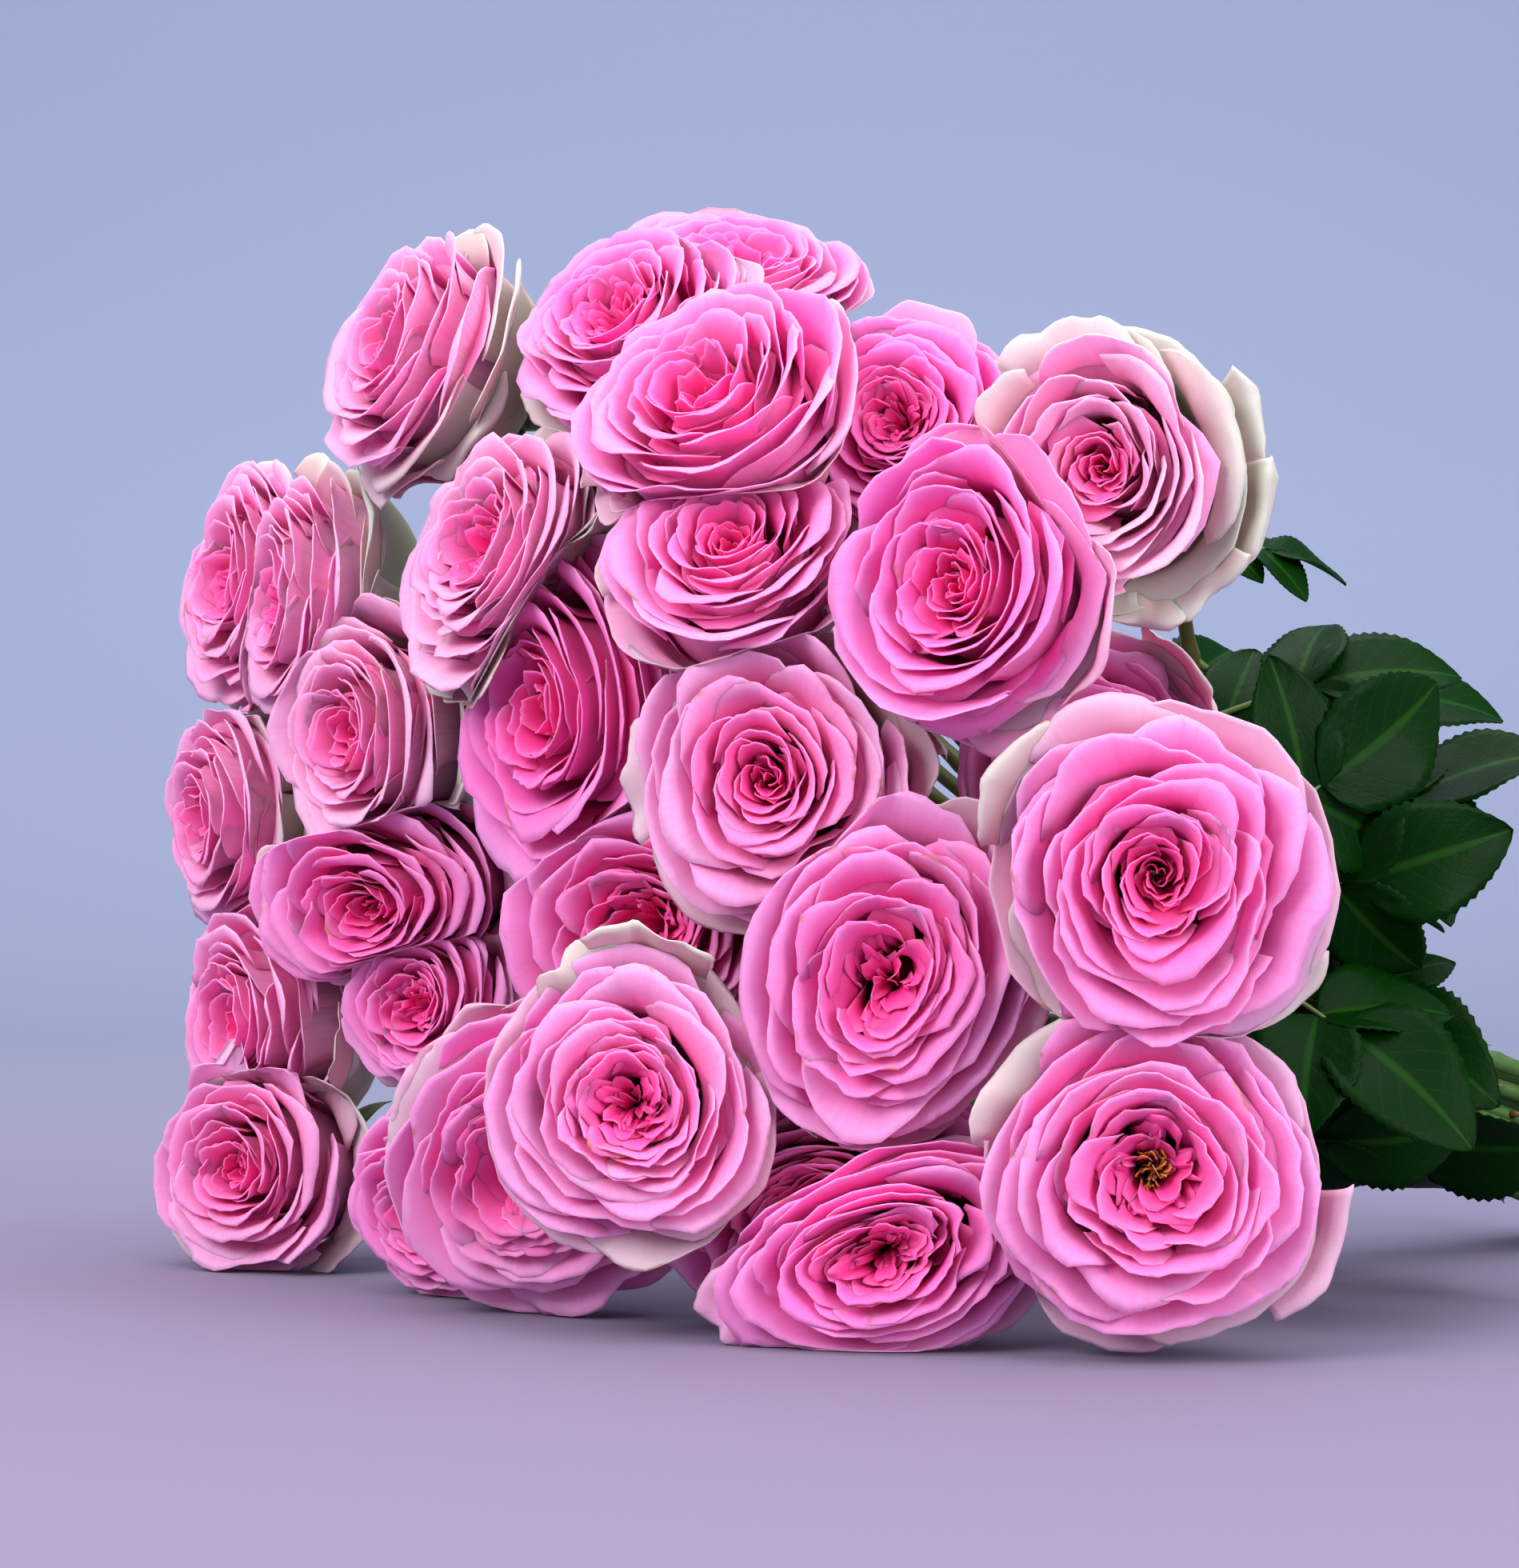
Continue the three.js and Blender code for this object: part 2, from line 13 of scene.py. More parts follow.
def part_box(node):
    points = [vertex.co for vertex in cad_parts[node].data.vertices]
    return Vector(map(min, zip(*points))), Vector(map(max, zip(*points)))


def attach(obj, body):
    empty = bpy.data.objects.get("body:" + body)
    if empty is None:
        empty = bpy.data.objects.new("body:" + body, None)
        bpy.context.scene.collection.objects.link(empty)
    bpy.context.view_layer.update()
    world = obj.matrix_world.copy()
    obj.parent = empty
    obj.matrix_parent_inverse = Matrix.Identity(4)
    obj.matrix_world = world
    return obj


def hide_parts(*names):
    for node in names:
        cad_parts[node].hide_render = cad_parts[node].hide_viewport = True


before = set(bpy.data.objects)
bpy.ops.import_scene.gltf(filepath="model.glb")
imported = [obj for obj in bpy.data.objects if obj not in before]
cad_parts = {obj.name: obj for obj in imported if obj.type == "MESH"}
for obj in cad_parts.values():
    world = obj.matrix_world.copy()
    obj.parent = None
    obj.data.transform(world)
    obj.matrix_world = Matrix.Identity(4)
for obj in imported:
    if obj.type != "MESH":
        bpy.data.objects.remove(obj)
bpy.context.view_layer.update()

MM = 0.001


# ---- The table, the backdrop, the lights and the camera ----
# A pale sheet lies under the bunch and sweeps up behind it in one curve. Big soft lamps stand to
# the left, above and in front, as in a small studio.
CAMERA_DISTANCE = 1300 * MM
CAMERA_HEIGHT = 175 * MM
LENS = 95.5  # on a 36 mm sensor
ORIGIN = Vector((-64.2, -151.3, 0)) * MM  # of the layout that the roses are placed in


def deselect():
    for thing in bpy.context.selected_objects:
        thing.select_set(False)


def node(tree, kind, **settings):
    made = tree.nodes.new(kind)
    for name, value in settings.items():
        setattr(made, name, value)
    return made


def ramp(tree, factor, stops):
    made = node(tree, "ShaderNodeValToRGB")
    elements = made.color_ramp.elements
    while len(elements) < len(stops):
        elements.new(0.5)
    for element, (place, colour) in zip(elements, stops):
        element.position = place
        element.color = (*colour, 1)
    tree.links.new(factor, made.inputs["Fac"])
    return made.outputs["Color"]


def new_material(name, roughness):
    material = bpy.data.materials.new(name)
    material.use_nodes = True
    shader = material.node_tree.nodes["Principled BSDF"]
    shader.inputs["Roughness"].default_value = roughness
    return material, material.node_tree, shader


def paper_material():
    """Pale paper: painted shade, tinged pink, under the bunch; painted light, bluer, where it hangs
    behind.
    """
    material, tree, shader = new_material("backdrop_paper", 0.9)
    place = node(tree, "ShaderNodeTexCoord").outputs["Object"]
    split = node(tree, "ShaderNodeSeparateXYZ")
    tree.links.new(place, split.inputs[0])
    # These three colours of the one paper are painted shade and light: near is shaded and tinged pink,
    # hung is lit.
    near, far, hung = (0.208, 0.173, 0.28), (0.242, 0.252, 0.375), (0.297, 0.343, 0.508)
    away = node(tree, "ShaderNodeMath", operation="MULTIPLY")
    tree.links.new(split.outputs["Y"], away.inputs[0])
    away.inputs[1].default_value = 0.4  # per metre behind the bunch
    colour = ramp(tree, away.outputs[0], [(0.0, near), (0.4, far), (0.9, hung)])
    tree.links.new(colour, shader.inputs["Base Color"])
    return material


def sheet_sweep():
    deselect()
    bpy.ops.mesh.primitive_grid_add(x_subdivisions=2, y_subdivisions=60, size=1, location=(0, 0, 0))
    sheet = bpy.context.object
    sheet.name = "backdrop"
    front, flat, bend, top = -2.4, 1.5, 0.9, 4.5
    quarter = bend * math.pi / 2
    whole = (flat - front) + quarter + top
    for vertex in sheet.data.vertices:
        way = (vertex.co.y + 0.5) * whole + front
        side = vertex.co.x * 9
        if way < flat:
            vertex.co = (side, way, 0)
        elif way < flat + quarter:
            turned = (way - flat) / bend
            vertex.co = (side, flat + bend * math.sin(turned), bend * (1 - math.cos(turned)))
        else:
            vertex.co = (side, flat + bend, bend + way - flat - quarter)
    deselect()
    sheet.select_set(True)
    bpy.ops.object.shade_smooth()
    sheet.data.materials.append(paper_material())


def soft_lamp(name, spot, size, power, colour):
    light = bpy.data.lights.new(name, "AREA")
    light.shape = "RECTANGLE"
    light.size, light.size_y = size
    light.energy = power
    light.color = colour
    lamp = bpy.data.objects.new(name, light)
    bpy.context.collection.objects.link(lamp)
    lamp.location = spot
    lamp.rotation_euler = (Vector((0, 0, 0.18)) - Vector(spot)).to_track_quat("-Z", "Y").to_euler()


sheet_sweep()
soft_lamp("window", (-1.5, -1.5, 1.6), (1.4, 1.4), 55, (1, 0.985, 0.965))
soft_lamp("ceiling", (0.2, -0.3, 2.3), (2.2, 2.2), 42, (1, 0.99, 1))
soft_lamp("reflector", (1.6, -1.6, 0.9), (1.2, 1.6), 38, (1, 0.98, 0.98))
soft_lamp("backlight", (-0.2, 1.2, 2.4), (2.5, 1.0), 20, (0.96, 0.97, 1))

world = bpy.data.worlds.new("room")
world.use_nodes = True
world.node_tree.nodes["Background"].inputs["Color"].default_value = (0.90, 0.91, 0.97, 1)
world.node_tree.nodes["Background"].inputs["Strength"].default_value = 0.57
bpy.context.scene.world = world
bpy.context.scene.view_settings.view_transform = "Standard"

camera = bpy.data.objects.new("camera", bpy.data.cameras.new("camera"))
camera.data.lens = LENS
camera.location = ORIGIN + Vector((0, -CAMERA_DISTANCE, CAMERA_HEIGHT))
camera.rotation_euler = (math.pi / 2, 0, 0)
bpy.context.collection.objects.link(camera)
bpy.context.scene.camera = camera


# ---- The roses ----
# Very full garden roses of thirty to fifty thin petals. Each petal grows from the calyx, a golden
# angle on from the last one and a little further out, stands up, leans out and rolls its lip back.
# Short petals fill the slits, and broad guard petals, pale and bent back, go round the outside.
WIDTH = 90 * MM  # across an open rose of size 1
DEPTH = 56 * MM  # from its rim down to its calyx
PETAL_THICKNESS = 0.4 * MM
GOLDEN_ANGLE = math.radians(137.508)
LIP_START = 0.78  # how far up a petal its lip starts to roll
GUARDS = 7
LOW_PETALS = 24
STAMENS = 26

# Where each rose's face is, and how it looks: its place and width in rose widths, its height over
# its width after a roll, and the way it looks, turned to the left and lifted, in degrees. Then its
# heart, and how pale it is.
ROSES = [
    # right, back, up, width, tall, turn, lift, roll, heart, pale
    (-1.45, 1.67, 3.66, 1.06, 1.05, 60, 22, 0, "spiral", 0.55),
    (-0.54, 1.06, 3.72, 1.05, 0.95, 37, 36, 0, "quartered", 0.15),
    (-0.10, 1.42, 3.96, 1.02, 1.00, -2, 56, 0, "quartered", 0.20),
    (-0.22, 0.39, 3.38, 1.16, 1.00, 33, 36, 0, "spiral", 0.20),
    (0.48, 0.36, 3.26, 0.80, 1.08, 15, 15, 0, "quartered", 0.00),
    (1.12, -0.39, 3.01, 0.93, 1.04, 20, 0, 0, "goblet", 0.85),
    (0.63, -0.33, 2.66, 1.03, 1.06, 34, 8, 0, "goblet", 0.05),
    (-0.12, 0.17, 2.83, 0.97, 1.00, 14, 36, 10, "spiral", 0.20),
    (-1.07, 1.00, 2.82, 1.08, 1.02, 54, 18, 0, "quartered", 0.60),
    (-2.20, 2.67, 2.77, 1.10, 1.04, 60, 10, 0, "quartered", 0.50),
    (-1.94, 2.17, 2.67, 1.05, 1.02, 66, 5, 0, "quartered", 0.55),
    (-1.62, 1.67, 2.12, 1.01, 1.11, 45, 2, 0, "spiral", 0.65),
    (-0.82, 0.83, 2.20, 1.13, 1.25, 46, 0, 0, "spiral", 0.05),
    (0.03, 0.00, 1.98, 1.08, 1.04, 14, 3, 0, "spiral", 0.40),
    (-2.28, 2.61, 1.80, 0.97, 1.00, 60, -4, 0, "spiral", 0.50),
    (-1.55, 1.67, 1.49, 1.15, 0.82, 26, -10, 0, "spiral", 0.15),
    (-0.45, 0.61, 1.40, 1.16, 0.98, 20, -4, 0, "quartered", 0.10),
    (0.43, -0.22, 1.30, 1.05, 1.22, 12, 0, -16, "hollow", 0.15),
    (1.33, -0.69, 1.61, 1.14, 1.03, 4, 2, 0, "spiral", 0.20),
    (-2.12, 2.28, 0.98, 1.05, 1.00, 54, 0, 0, "spiral", 0.40),
    (-2.09, 2.11, 0.43, 0.97, 1.00, 34, 4, 0, "spiral", 0.35),
    (-1.35, 1.67, 1.10, 0.76, 1.00, 30, 0, 0, "quartered", 0.10),
    (-0.47, -0.06, 0.84, 1.00, 1.06, 8, 4, 0, "quartered", 0.30),
    (-0.86, 0.56, 0.54, 1.19, 0.98, 22, -12, 0, "twin", 0.25),
    (-1.28, 1.22, 0.33, 0.86, 0.90, 40, -10, 0, "quartered", 0.10),
    (0.19, 0.17, 0.48, 1.23, 0.59, 14, -8, 24, "quartered", 0.10),
    (0.41, -0.28, 0.32, 1.27, 0.59, 10, 0, 16, "quartered", 0.05),
    (1.30, -0.61, 0.63, 1.13, 1.06, 2, 2, 0, "open", 0.20),
    (1.15, 0.22, 1.98, 0.94, 1.00, 12, 0, 0, "quartered", 0.10),
]

# Single petals that stand away from their rose: the rose, the way from its middle, anticlockwise
# from its right, how far the petal reaches and how high its rim stands (mm in a rose of size 1),
# how far it leans out (90 is flat, more is bent back), half its width in degrees, and how creamy
# it is.
STRAYS = [
    (6, -16, 74, -24, 118, 22, 1.0),
    (6, 20, 70, -30, 104, 20, 1.0),
    (6, -48, 64, -18, 98, 20, 0.95),
    (6, -78, 60, -16, 92, 20, 0.9),
    (6, -118, 54, -10, 88, 32, 0.7),
    (6, 165, 52, -6, 84, 38, 0.7),
    (6, 100, 49, -8, 88, 36, 0.7),
    (7, -12, 60, -16, 62, 38, 0.45),
    (7, 40, 54, -10, 70, 34, 0.2),
    (7, -75, 52, -22, 96, 30, 0.3),
    (7, -140, 50, -18, 100, 30, 0.1),
    (14, 34, 74, 0, 48, 28, 0.95),
    (14, -50, 52, -12, 90, 34, 0.5),
    (14, 175, 50, -12, 92, 30, 0.6),
    (23, 82, 60, 0, 50, 26, 1.0),
    (23, 112, 52, -8, 80, 22, 0.9),
    (28, -25, 64, -14, 100, 22, 0.5),
    (28, 140, 52, -14, 96, 30, 0.8),
    (19, -52, 55, -24, 96, 32, 0.9),
    (19, 105, 52, -10, 82, 32, 0.4),
    (19, 142, 60, -12, 80, 26, 0.9),
    (29, 48, 62, 6, 30, 24, 0.8),
    (17, 70, 52, -8, 72, 30, 0.3),
    (1, 10, 58, -20, 84, 38, 1.0),
    (1, -40, 50, -26, 104, 36, 0.9),
    (2, -135, 52, -16, 92, 34, 0.8),
    (3, 40, 52, -14, 92, 34, 0.9),
    (9, -80, 56, -18, 88, 34, 0.9),
    (9, 20, 58, -18, 80, 34, 0.9),
    (10, 60, 50, -20, 90, 36, 0.9),
    (11, 34, 62, -18, 80, 36, 1.0),
    (11, -20, 58, -22, 88, 34, 0.9),
    (12, 24, 62, -16, 78, 34, 0.95),
    (12, -50, 50, -20, 96, 34, 0.8),
    (13, -100, 52, -14, 92, 30, 0.5),
    (16, 20, 52, -16, 84, 30, 0.5),
    (20, -22, 68, -14, 70, 34, 0.9),
    (20, 0, 54, -20, 92, 38, 0.9),
    (20, 60, 50, -18, 92, 30, 0.9),
    (21, 30, 62, -14, 66, 38, 0.85),
    (21, -30, 56, -20, 90, 34, 0.7),
    (24, 150, 50, -12, 92, 34, 0.5),
    (26, 160, 50, -12, 96, 30, 0.4),
    (27, -170, 51, -10, 96, 30, 0.3),
]


def facing(turn, lift):
    turn, lift = math.radians(turn), math.radians(lift)
    return Vector((-math.sin(turn) * math.cos(lift), -math.cos(turn) * math.cos(lift), math.sin(lift)))


def head_axes(turn, lift, roll):
    """Rows: to the right of the face, up the face, and out of it."""
    out = facing(turn, lift)
    right = Vector((0, 0, 1)).cross(out).normalized()
    up = out.cross(right)
    angle = math.radians(roll)
    rolled_right = right * math.cos(angle) + up * math.sin(angle)
    rolled_up = up * math.cos(angle) - right * math.sin(angle)
    return np.array([rolled_right, rolled_up, out])


def blank(across, along):
    """A flat grid to lay a petal or a leaflet from: -1 to 1 across and 0 to 1 along."""
    deselect()
    bpy.ops.mesh.primitive_grid_add(x_subdivisions=across, y_subdivisions=along, size=2)
    grid = bpy.context.object
    corners = np.array([v.co[:2] for v in grid.data.vertices])
    faces = np.array([f.vertices[:] for f in grid.data.polygons])
    bpy.data.objects.remove(grid)
    return corners[:, 0], (corners[:, 1] + 1) / 2, faces


def smooth_step(low, high, x):
    share = np.clip((x - low) / (high - low), 0, 1)
    return share * share * (3 - 2 * share)


def bezier(p0, p1, p2, p3, s):
    q = 1 - s
    place = q**3 * p0 + 3 * q * q * s * p1 + 3 * q * s * s * p2 + s**3 * p3
    slope = 3 * q * q * (p1 - p0) + 6 * q * s * (p2 - p1) + 3 * s * s * (p3 - p2)
    return place, slope


def lay_petal(u, v, petal):
    """The places of a petal's corners in its rose's own frame, in millimetres."""
    phase = petal["phase"]
    # The outline: rounded shoulders, a blunt corner somewhere on the rim, and shallow nicks.
    corner = np.maximum(0, 1 - np.abs(u - petal["corner"]) / 0.45)
    outline = 1 - petal["shoulder"] * np.abs(u) ** petal["square"]
    outline += 0.015 * np.sin(u * 8 + phase[0]) + 0.008 * np.sin(u * 21 + phase[1])
    s = np.minimum(v / LIP_START, 1) * outline
    # The petal bellies out from the calyx and leans outwards as it comes up to its rim.
    lean = petal["lean"]
    ease = petal["ease"]
    foot_r, foot_z = petal["foot"]
    belly_r, belly_z = petal["belly"]
    reach, rim = petal["reach"], petal["rim"]
    radius, slope_r = bezier(foot_r, belly_r, reach - ease * math.sin(lean), reach, s)
    height, slope_z = bezier(foot_z, belly_z, rim - ease * math.cos(lean), rim, s)
    # The lip rolls outwards from the last slope of the petal.
    steep = np.maximum(np.hypot(slope_r, slope_z), 1e-6)
    run_r, run_z = slope_r / steep, slope_z / steep
    lip = np.clip((v - LIP_START) / (1 - LIP_START), 0, 1)
    turned = lip * petal["roll"] * (0.7 + 0.3 * np.cos(u * 2.6 + phase[2]))
    length = petal["lip"] * (1 - 0.45 * np.abs(u) ** 3) * (1 + petal["sharp"] * corner)
    curl = length / np.maximum(petal["roll"], 0.2)
    radius = radius + curl * (np.sin(turned) * run_r + (1 - np.cos(turned)) * run_z)
    height = height + curl * (np.sin(turned) * run_z - (1 - np.cos(turned)) * run_r)
    # Waves, a crease, and side edges of which one tucks in and one stands out.
    free = v**2.2
    wave = np.sin(u * petal["waves"] + phase[3]) + 0.5 * np.sin(u * 2.3 * petal["waves"] + phase[4])
    radius = radius + petal["wave"] * free * wave
    height = height + 0.7 * petal["wave"] * free * np.sin(u * petal["waves"] * 1.4 + phase[5])
    crease = np.exp(-(((u - petal["corner"]) / 0.25) ** 2))
    radius = radius - petal["crease"] * v**2 * crease
    radius = radius + petal["tuck"] * u * v + petal["edge"] * smooth_step(0.7, 1, np.abs(u)) * v**1.5
    azimuth = petal["azimuth"] + petal["arc"] * u * (0.8 + 0.2 * v)
    middle_x, middle_y = petal["middle"]
    share = v**1.5  # a petal of a quarter leans from the calyx to its quarter
    x = radius * np.cos(azimuth) + middle_x * share
    y = radius * np.sin(azimuth) + middle_y * share
    return np.stack([x, y, height], axis=1)


def petal_of(rng, t, azimuth):
    """A petal in its rose's whorl, t from 0 at the heart to 1 at the outside, in millimetres."""
    return {
        "blank": SMALL_PETAL if t < 0.35 else PETAL,
        "open": t,
        "cream": 0.0,
        "gold": 0.0,
        "give": 3 * MM,
        "azimuth": azimuth,
        "reach": 1.5 + 40 * t**1.3 + rng.normal(0, 0.3 + 0.7 * t),
        "rim": 2.2 - (62 if t < 0.46 else 44) * (t - 0.46) ** 2 + rng.normal(0, 1.0),
        "foot": (2 + 3.5 * t, -48 - 6 * t),
        "belly": (5 + 38 * t, -40 - 4 * t),
        "lean": math.radians(4 + 48 * t) * rng.uniform(0.75, 1.25),
        "ease": 15 + 6 * t,
        "arc": math.radians(84 - 30 * t**0.7) * rng.uniform(0.75, 1.25),
        "middle": (0.0, 0.0),
        "shoulder": rng.uniform(0.08, 0.24),
        "square": rng.uniform(2.4, 4.5),
        "corner": rng.uniform(-0.6, 0.6),
        "sharp": rng.uniform(0.0, 0.5 + 0.8 * t),
        "roll": math.radians(8 + 50 * t**1.5) * rng.uniform(0.4, 1.6),
        "lip": (1.8 + 5.2 * t) * rng.uniform(0.75, 1.3),
        "wave": (0.35 + 0.65 * t) * rng.uniform(0.4, 1.6),
        "waves": rng.uniform(2.0, 5.0),
        "crease": rng.uniform(1.2, 3.6) if rng.random() < 0.35 else 0.0,
        "edge": rng.uniform(0.2, 1.6),
        "tuck": (1.1 + 1.6 * t) * rng.uniform(0.4, 1.5),
        "phase": rng.uniform(0, 2 * math.pi, 6),
        "tint": rng.uniform(0, 1),
    }


HEART_END = 0.4  # where the whorl round a quartered heart starts


def whorl(heart, rng):
    """The petals that make up the face of a rose."""
    count, quarters, heart_count, spread = {
        "spiral": (40, 0, 0, 0),
        "goblet": (30, 0, 0, 0),
        "quartered": (48, 4, 20, 5.5),
        "twin": (42, 2, 14, 8.0),
        "hollow": (42, 3, 12, 7.0),
        "open": (44, 5, 15, 8.5),
    }[heart]
    first = rng.uniform(0, 2 * math.pi)
    turns = first + np.arange(quarters) * 2 * math.pi / max(quarters, 1)
    turns += rng.normal(0, 0.25, quarters)
    petals = []
    for i in range(count):
        t = (i + 0.5) / count
        if quarters:
            t = max(t, HEART_END + (1 - HEART_END) * (i + 0.5 - heart_count) / (count - heart_count))
        petal = petal_of(rng, t, first + i * GOLDEN_ANGLE + rng.normal(0, 0.14))
        if i < heart_count:
            ring = i // quarters
            turn = turns[i % quarters]
            petal["middle"] = (spread * math.cos(turn), spread * math.sin(turn))
            petal["open"] = 0.05 + 0.06 * ring
            petal["reach"] = 1.5 + 2.3 * ring
            petal["azimuth"] = turn + rng.normal(0, 0.35)
            petal["arc"] = math.radians(rng.uniform(65, 95))
            petal["rim"] = -4.0 + 0.9 * ring + rng.normal(0, 0.9)
            petal["lean"] = math.radians(rng.uniform(0, 26))
            petal["wave"] = rng.uniform(0.4, 0.9)
        if heart == "goblet":
            petal["reach"] = 2 + 37.5 * t**1.4
            petal["rim"] = -5 + 9 * t - 20 * max(0, t - 0.7) + rng.normal(0, 0.7)
            petal["lean"] *= 0.8
            petal["belly"] = (8 + 36 * t, -42)
            petal["roll"] *= 0.7
        if heart in ("hollow", "open") and i < heart_count:
            petal["rim"] -= 3
        petals.append(petal)
    if heart == "open":
        petals += stamens(rng)
    return petals + low_petals(rng)


def low_petals(rng):
    """Short petals that fill the slits, so that no face shows a black gap down to the calyx."""
    low = []
    for i in range(LOW_PETALS):
        t = rng.uniform(0.05, 0.45) if i < LOW_PETALS // 2 else rng.uniform(0.4, 0.95)
        petal = petal_of(rng, t, i * GOLDEN_ANGLE)
        petal["rim"] -= rng.uniform(4, 7) if t < 0.45 else rng.uniform(7, 11)
        petal["lean"] += math.radians(25)
        petal["arc"] = math.radians(60)
        petal["open"] *= 0.6
        petal["blank"] = LOW_PETAL
        low.append(petal)
    return low


def stamens(rng):
    """A rose that is fully open shows a tuft of brown stamens, drawn as very narrow petals."""
    tuft = []
    for _ in range(STAMENS):
        thread = petal_of(rng, 0.1, rng.uniform(0, 2 * math.pi))
        thread["reach"] = rng.uniform(0.6, 5.0)
        thread["rim"] = rng.uniform(-9, -5)
        thread["arc"] = math.radians(rng.uniform(14, 26))
        thread["gold"] = 1.0
        thread["blank"] = LOW_PETAL
        tuft.append(thread)
    return tuft


def guard_petals(rng, pale):
    first = rng.uniform(0, 2 * math.pi)
    guards = []
    for i in range(GUARDS):
        guard = petal_of(rng, 1.0, first + i * 2 * math.pi / GUARDS + rng.normal(0, 0.2))
        guard["reach"] = rng.uniform(42, 47)
        guard["rim"] = rng.uniform(-25, -12)
        guard["belly"] = (46, rng.uniform(-46, -40))
        guard["lean"] = math.radians(rng.uniform(55, 100))
        guard["arc"] = math.radians(rng.uniform(42, 56))
        guard["cream"] = min(1.0, 0.9 * pale + rng.uniform(0.0, 0.55))
        guard["give"] = 9 * MM
        guard["blank"] = BROAD_PETAL
        guards.append(guard)
    return guards


def stray_petal(rng, way, reach, rim, lean, arc, cream):
    petal = petal_of(rng, 1.0, math.radians(way))
    petal["reach"], petal["rim"] = reach - 5, rim
    petal["lean"], petal["arc"] = math.radians(lean), math.radians(arc)
    petal["cream"] = cream
    petal["give"] = STRAY_GIVE
    petal["blank"] = BROAD_PETAL
    petal["lip"] = 8
    petal["roll"] = math.radians(55)
    petal["crease"] = 3.5
    petal["wave"] = 2.0
    petal["sharp"] = 0.9
    return petal


def uneven(local, rng):
    """No rose is quite round: its heart sits aside and its rim has soft corners."""
    radius = np.hypot(local[:, 0], local[:, 1])
    angle = np.arctan2(local[:, 1], local[:, 0])
    phases = rng.uniform(0, 2 * math.pi, 3)
    stretch = 1 + 0.035 * np.cos(2 * angle + phases[0]) + 0.03 * np.cos(3 * angle + phases[1])
    aside = rng.uniform(1.0, 4.0) * np.clip(1 - radius / 42, 0, 1)
    local[:, 0] = local[:, 0] * stretch + aside * math.cos(phases[2])
    local[:, 1] = local[:, 1] * stretch + aside * math.sin(phases[2])


def skin_of(names):
    """The CAD solids of some roses as one surface."""
    corners, faces = [], []
    for name in names:
        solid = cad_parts[name]
        start = len(corners)
        corners += [solid.matrix_world @ v.co for v in solid.data.vertices]
        faces += [[start + i for i in p.vertices] for p in solid.data.polygons]
    return BVHTree.FromPolygons(corners, faces)


SKIN_GAP = 0.45  # the share of the room between two roses that each one's petals may take
STRAY_GAP = 0.8  # the share that a single petal may take
STRAY_GIVE = 16 * MM
FLOOR = 0.5 * MM  # the lowest that any corner is placed, above the table


def hold_in(places, gives, skin, others):
    """Where roses press on each other, their petals give way and pass their own skins by little."""
    for place, give in zip(places, gives):
        spot, normal, _, distance = skin.find_nearest(Vector(place))
        if (Vector(place) - spot).dot(normal) > 0:
            room = others.find_nearest(spot)[3]
            give = min(give, (STRAY_GAP if give == STRAY_GIVE else SKIN_GAP) * room)
            past = give * (1 - math.exp(-distance / max(give, 1e-6)))
            place[:] = spot + (Vector(place) - spot) * (past / max(distance, 1e-9))
        place[2] = max(place[2], FLOOR)


LOW_PETAL = blank(8, 8)
SMALL_PETAL = blank(12, 12)
PETAL = blank(15, 13)
BROAD_PETAL = blank(20, 16)


def new_piece(name, places, faces, marks, materials):
    mesh = bpy.data.meshes.new(name)
    mesh.from_pydata(places.tolist(), [], [list(face) for face in faces])
    for mark_name, values in marks.items():
        mesh.attributes.new(mark_name, "FLOAT", "POINT").data.foreach_set("value", values)
    for material in materials:
        mesh.materials.append(material)
    piece = bpy.data.objects.new(name, mesh)
    bpy.context.collection.objects.link(piece)
    deselect()
    piece.select_set(True)
    bpy.context.view_layer.objects.active = piece
    return piece


def give_thickness(piece, thickness):
    wall = piece.modifiers.new("wall", "SOLIDIFY")
    wall.thickness = thickness
    wall.offset = 0
    wall.material_offset = 1
    bpy.ops.object.modifier_apply(modifier="wall")
    bpy.ops.object.shade_smooth()


def lay_rose(petals, pale):
    """The corners of all the petals of a rose, their faces, how far each may give, and its marks."""
    places, faces, gives, count = [], [], [], 0
    marks = {"rim": [], "across": [], "open": [], "tint": [], "pale": [], "cream": [], "gold": []}
    for petal in petals:
        u, v, grid = petal["blank"]
        places.append(lay_petal(u, v, petal))
        faces.append(grid + count)
        count += len(u)
        gives.append(np.full(len(u), petal["give"]))
        marks["rim"].append(v)
        marks["across"].append(u)
        for name in ("open", "tint", "cream", "gold"):
            marks[name].append(np.full(len(u), petal[name]))
        marks["pale"].append(np.full(len(u), pale))
    marks = {key: np.concatenate(values) for key, values in marks.items()}
    return np.concatenate(places), np.concatenate(faces), np.concatenate(gives), marks


def grow_rose(number, row):
    right, back, up, width, tall, turn, lift, roll, heart, pale = row
    rng = np.random.default_rng(number)
    petals = whorl(heart, rng) + guard_petals(rng, pale)
    petals += [stray_petal(rng, *stray[1:]) for stray in STRAYS if stray[0] == number]
    local, faces, gives, marks = lay_rose(petals, pale)
    uneven(local, rng)
    local *= MM * width
    local[:, 1] *= tall
    spot = np.array(Vector((right, back, up)) * WIDTH + ORIGIN)
    placed = spot + local @ head_axes(turn, lift, roll)
    name = f"bloom_{number:02d}"
    others = skin_of([other for other in BLOOMS if other != name])
    hold_in(placed, gives, skin_of([name]), others)
    materials = (PETAL_BACK, PETAL_FACE)
    rose = new_piece(f"petals_{number:02d}", placed, faces, marks, materials)
    give_thickness(rose, PETAL_THICKNESS)
    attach(rose, "root")
    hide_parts(name)


def mark(tree, name):
    return node(tree, "ShaderNodeAttribute", attribute_name=name).outputs["Fac"]


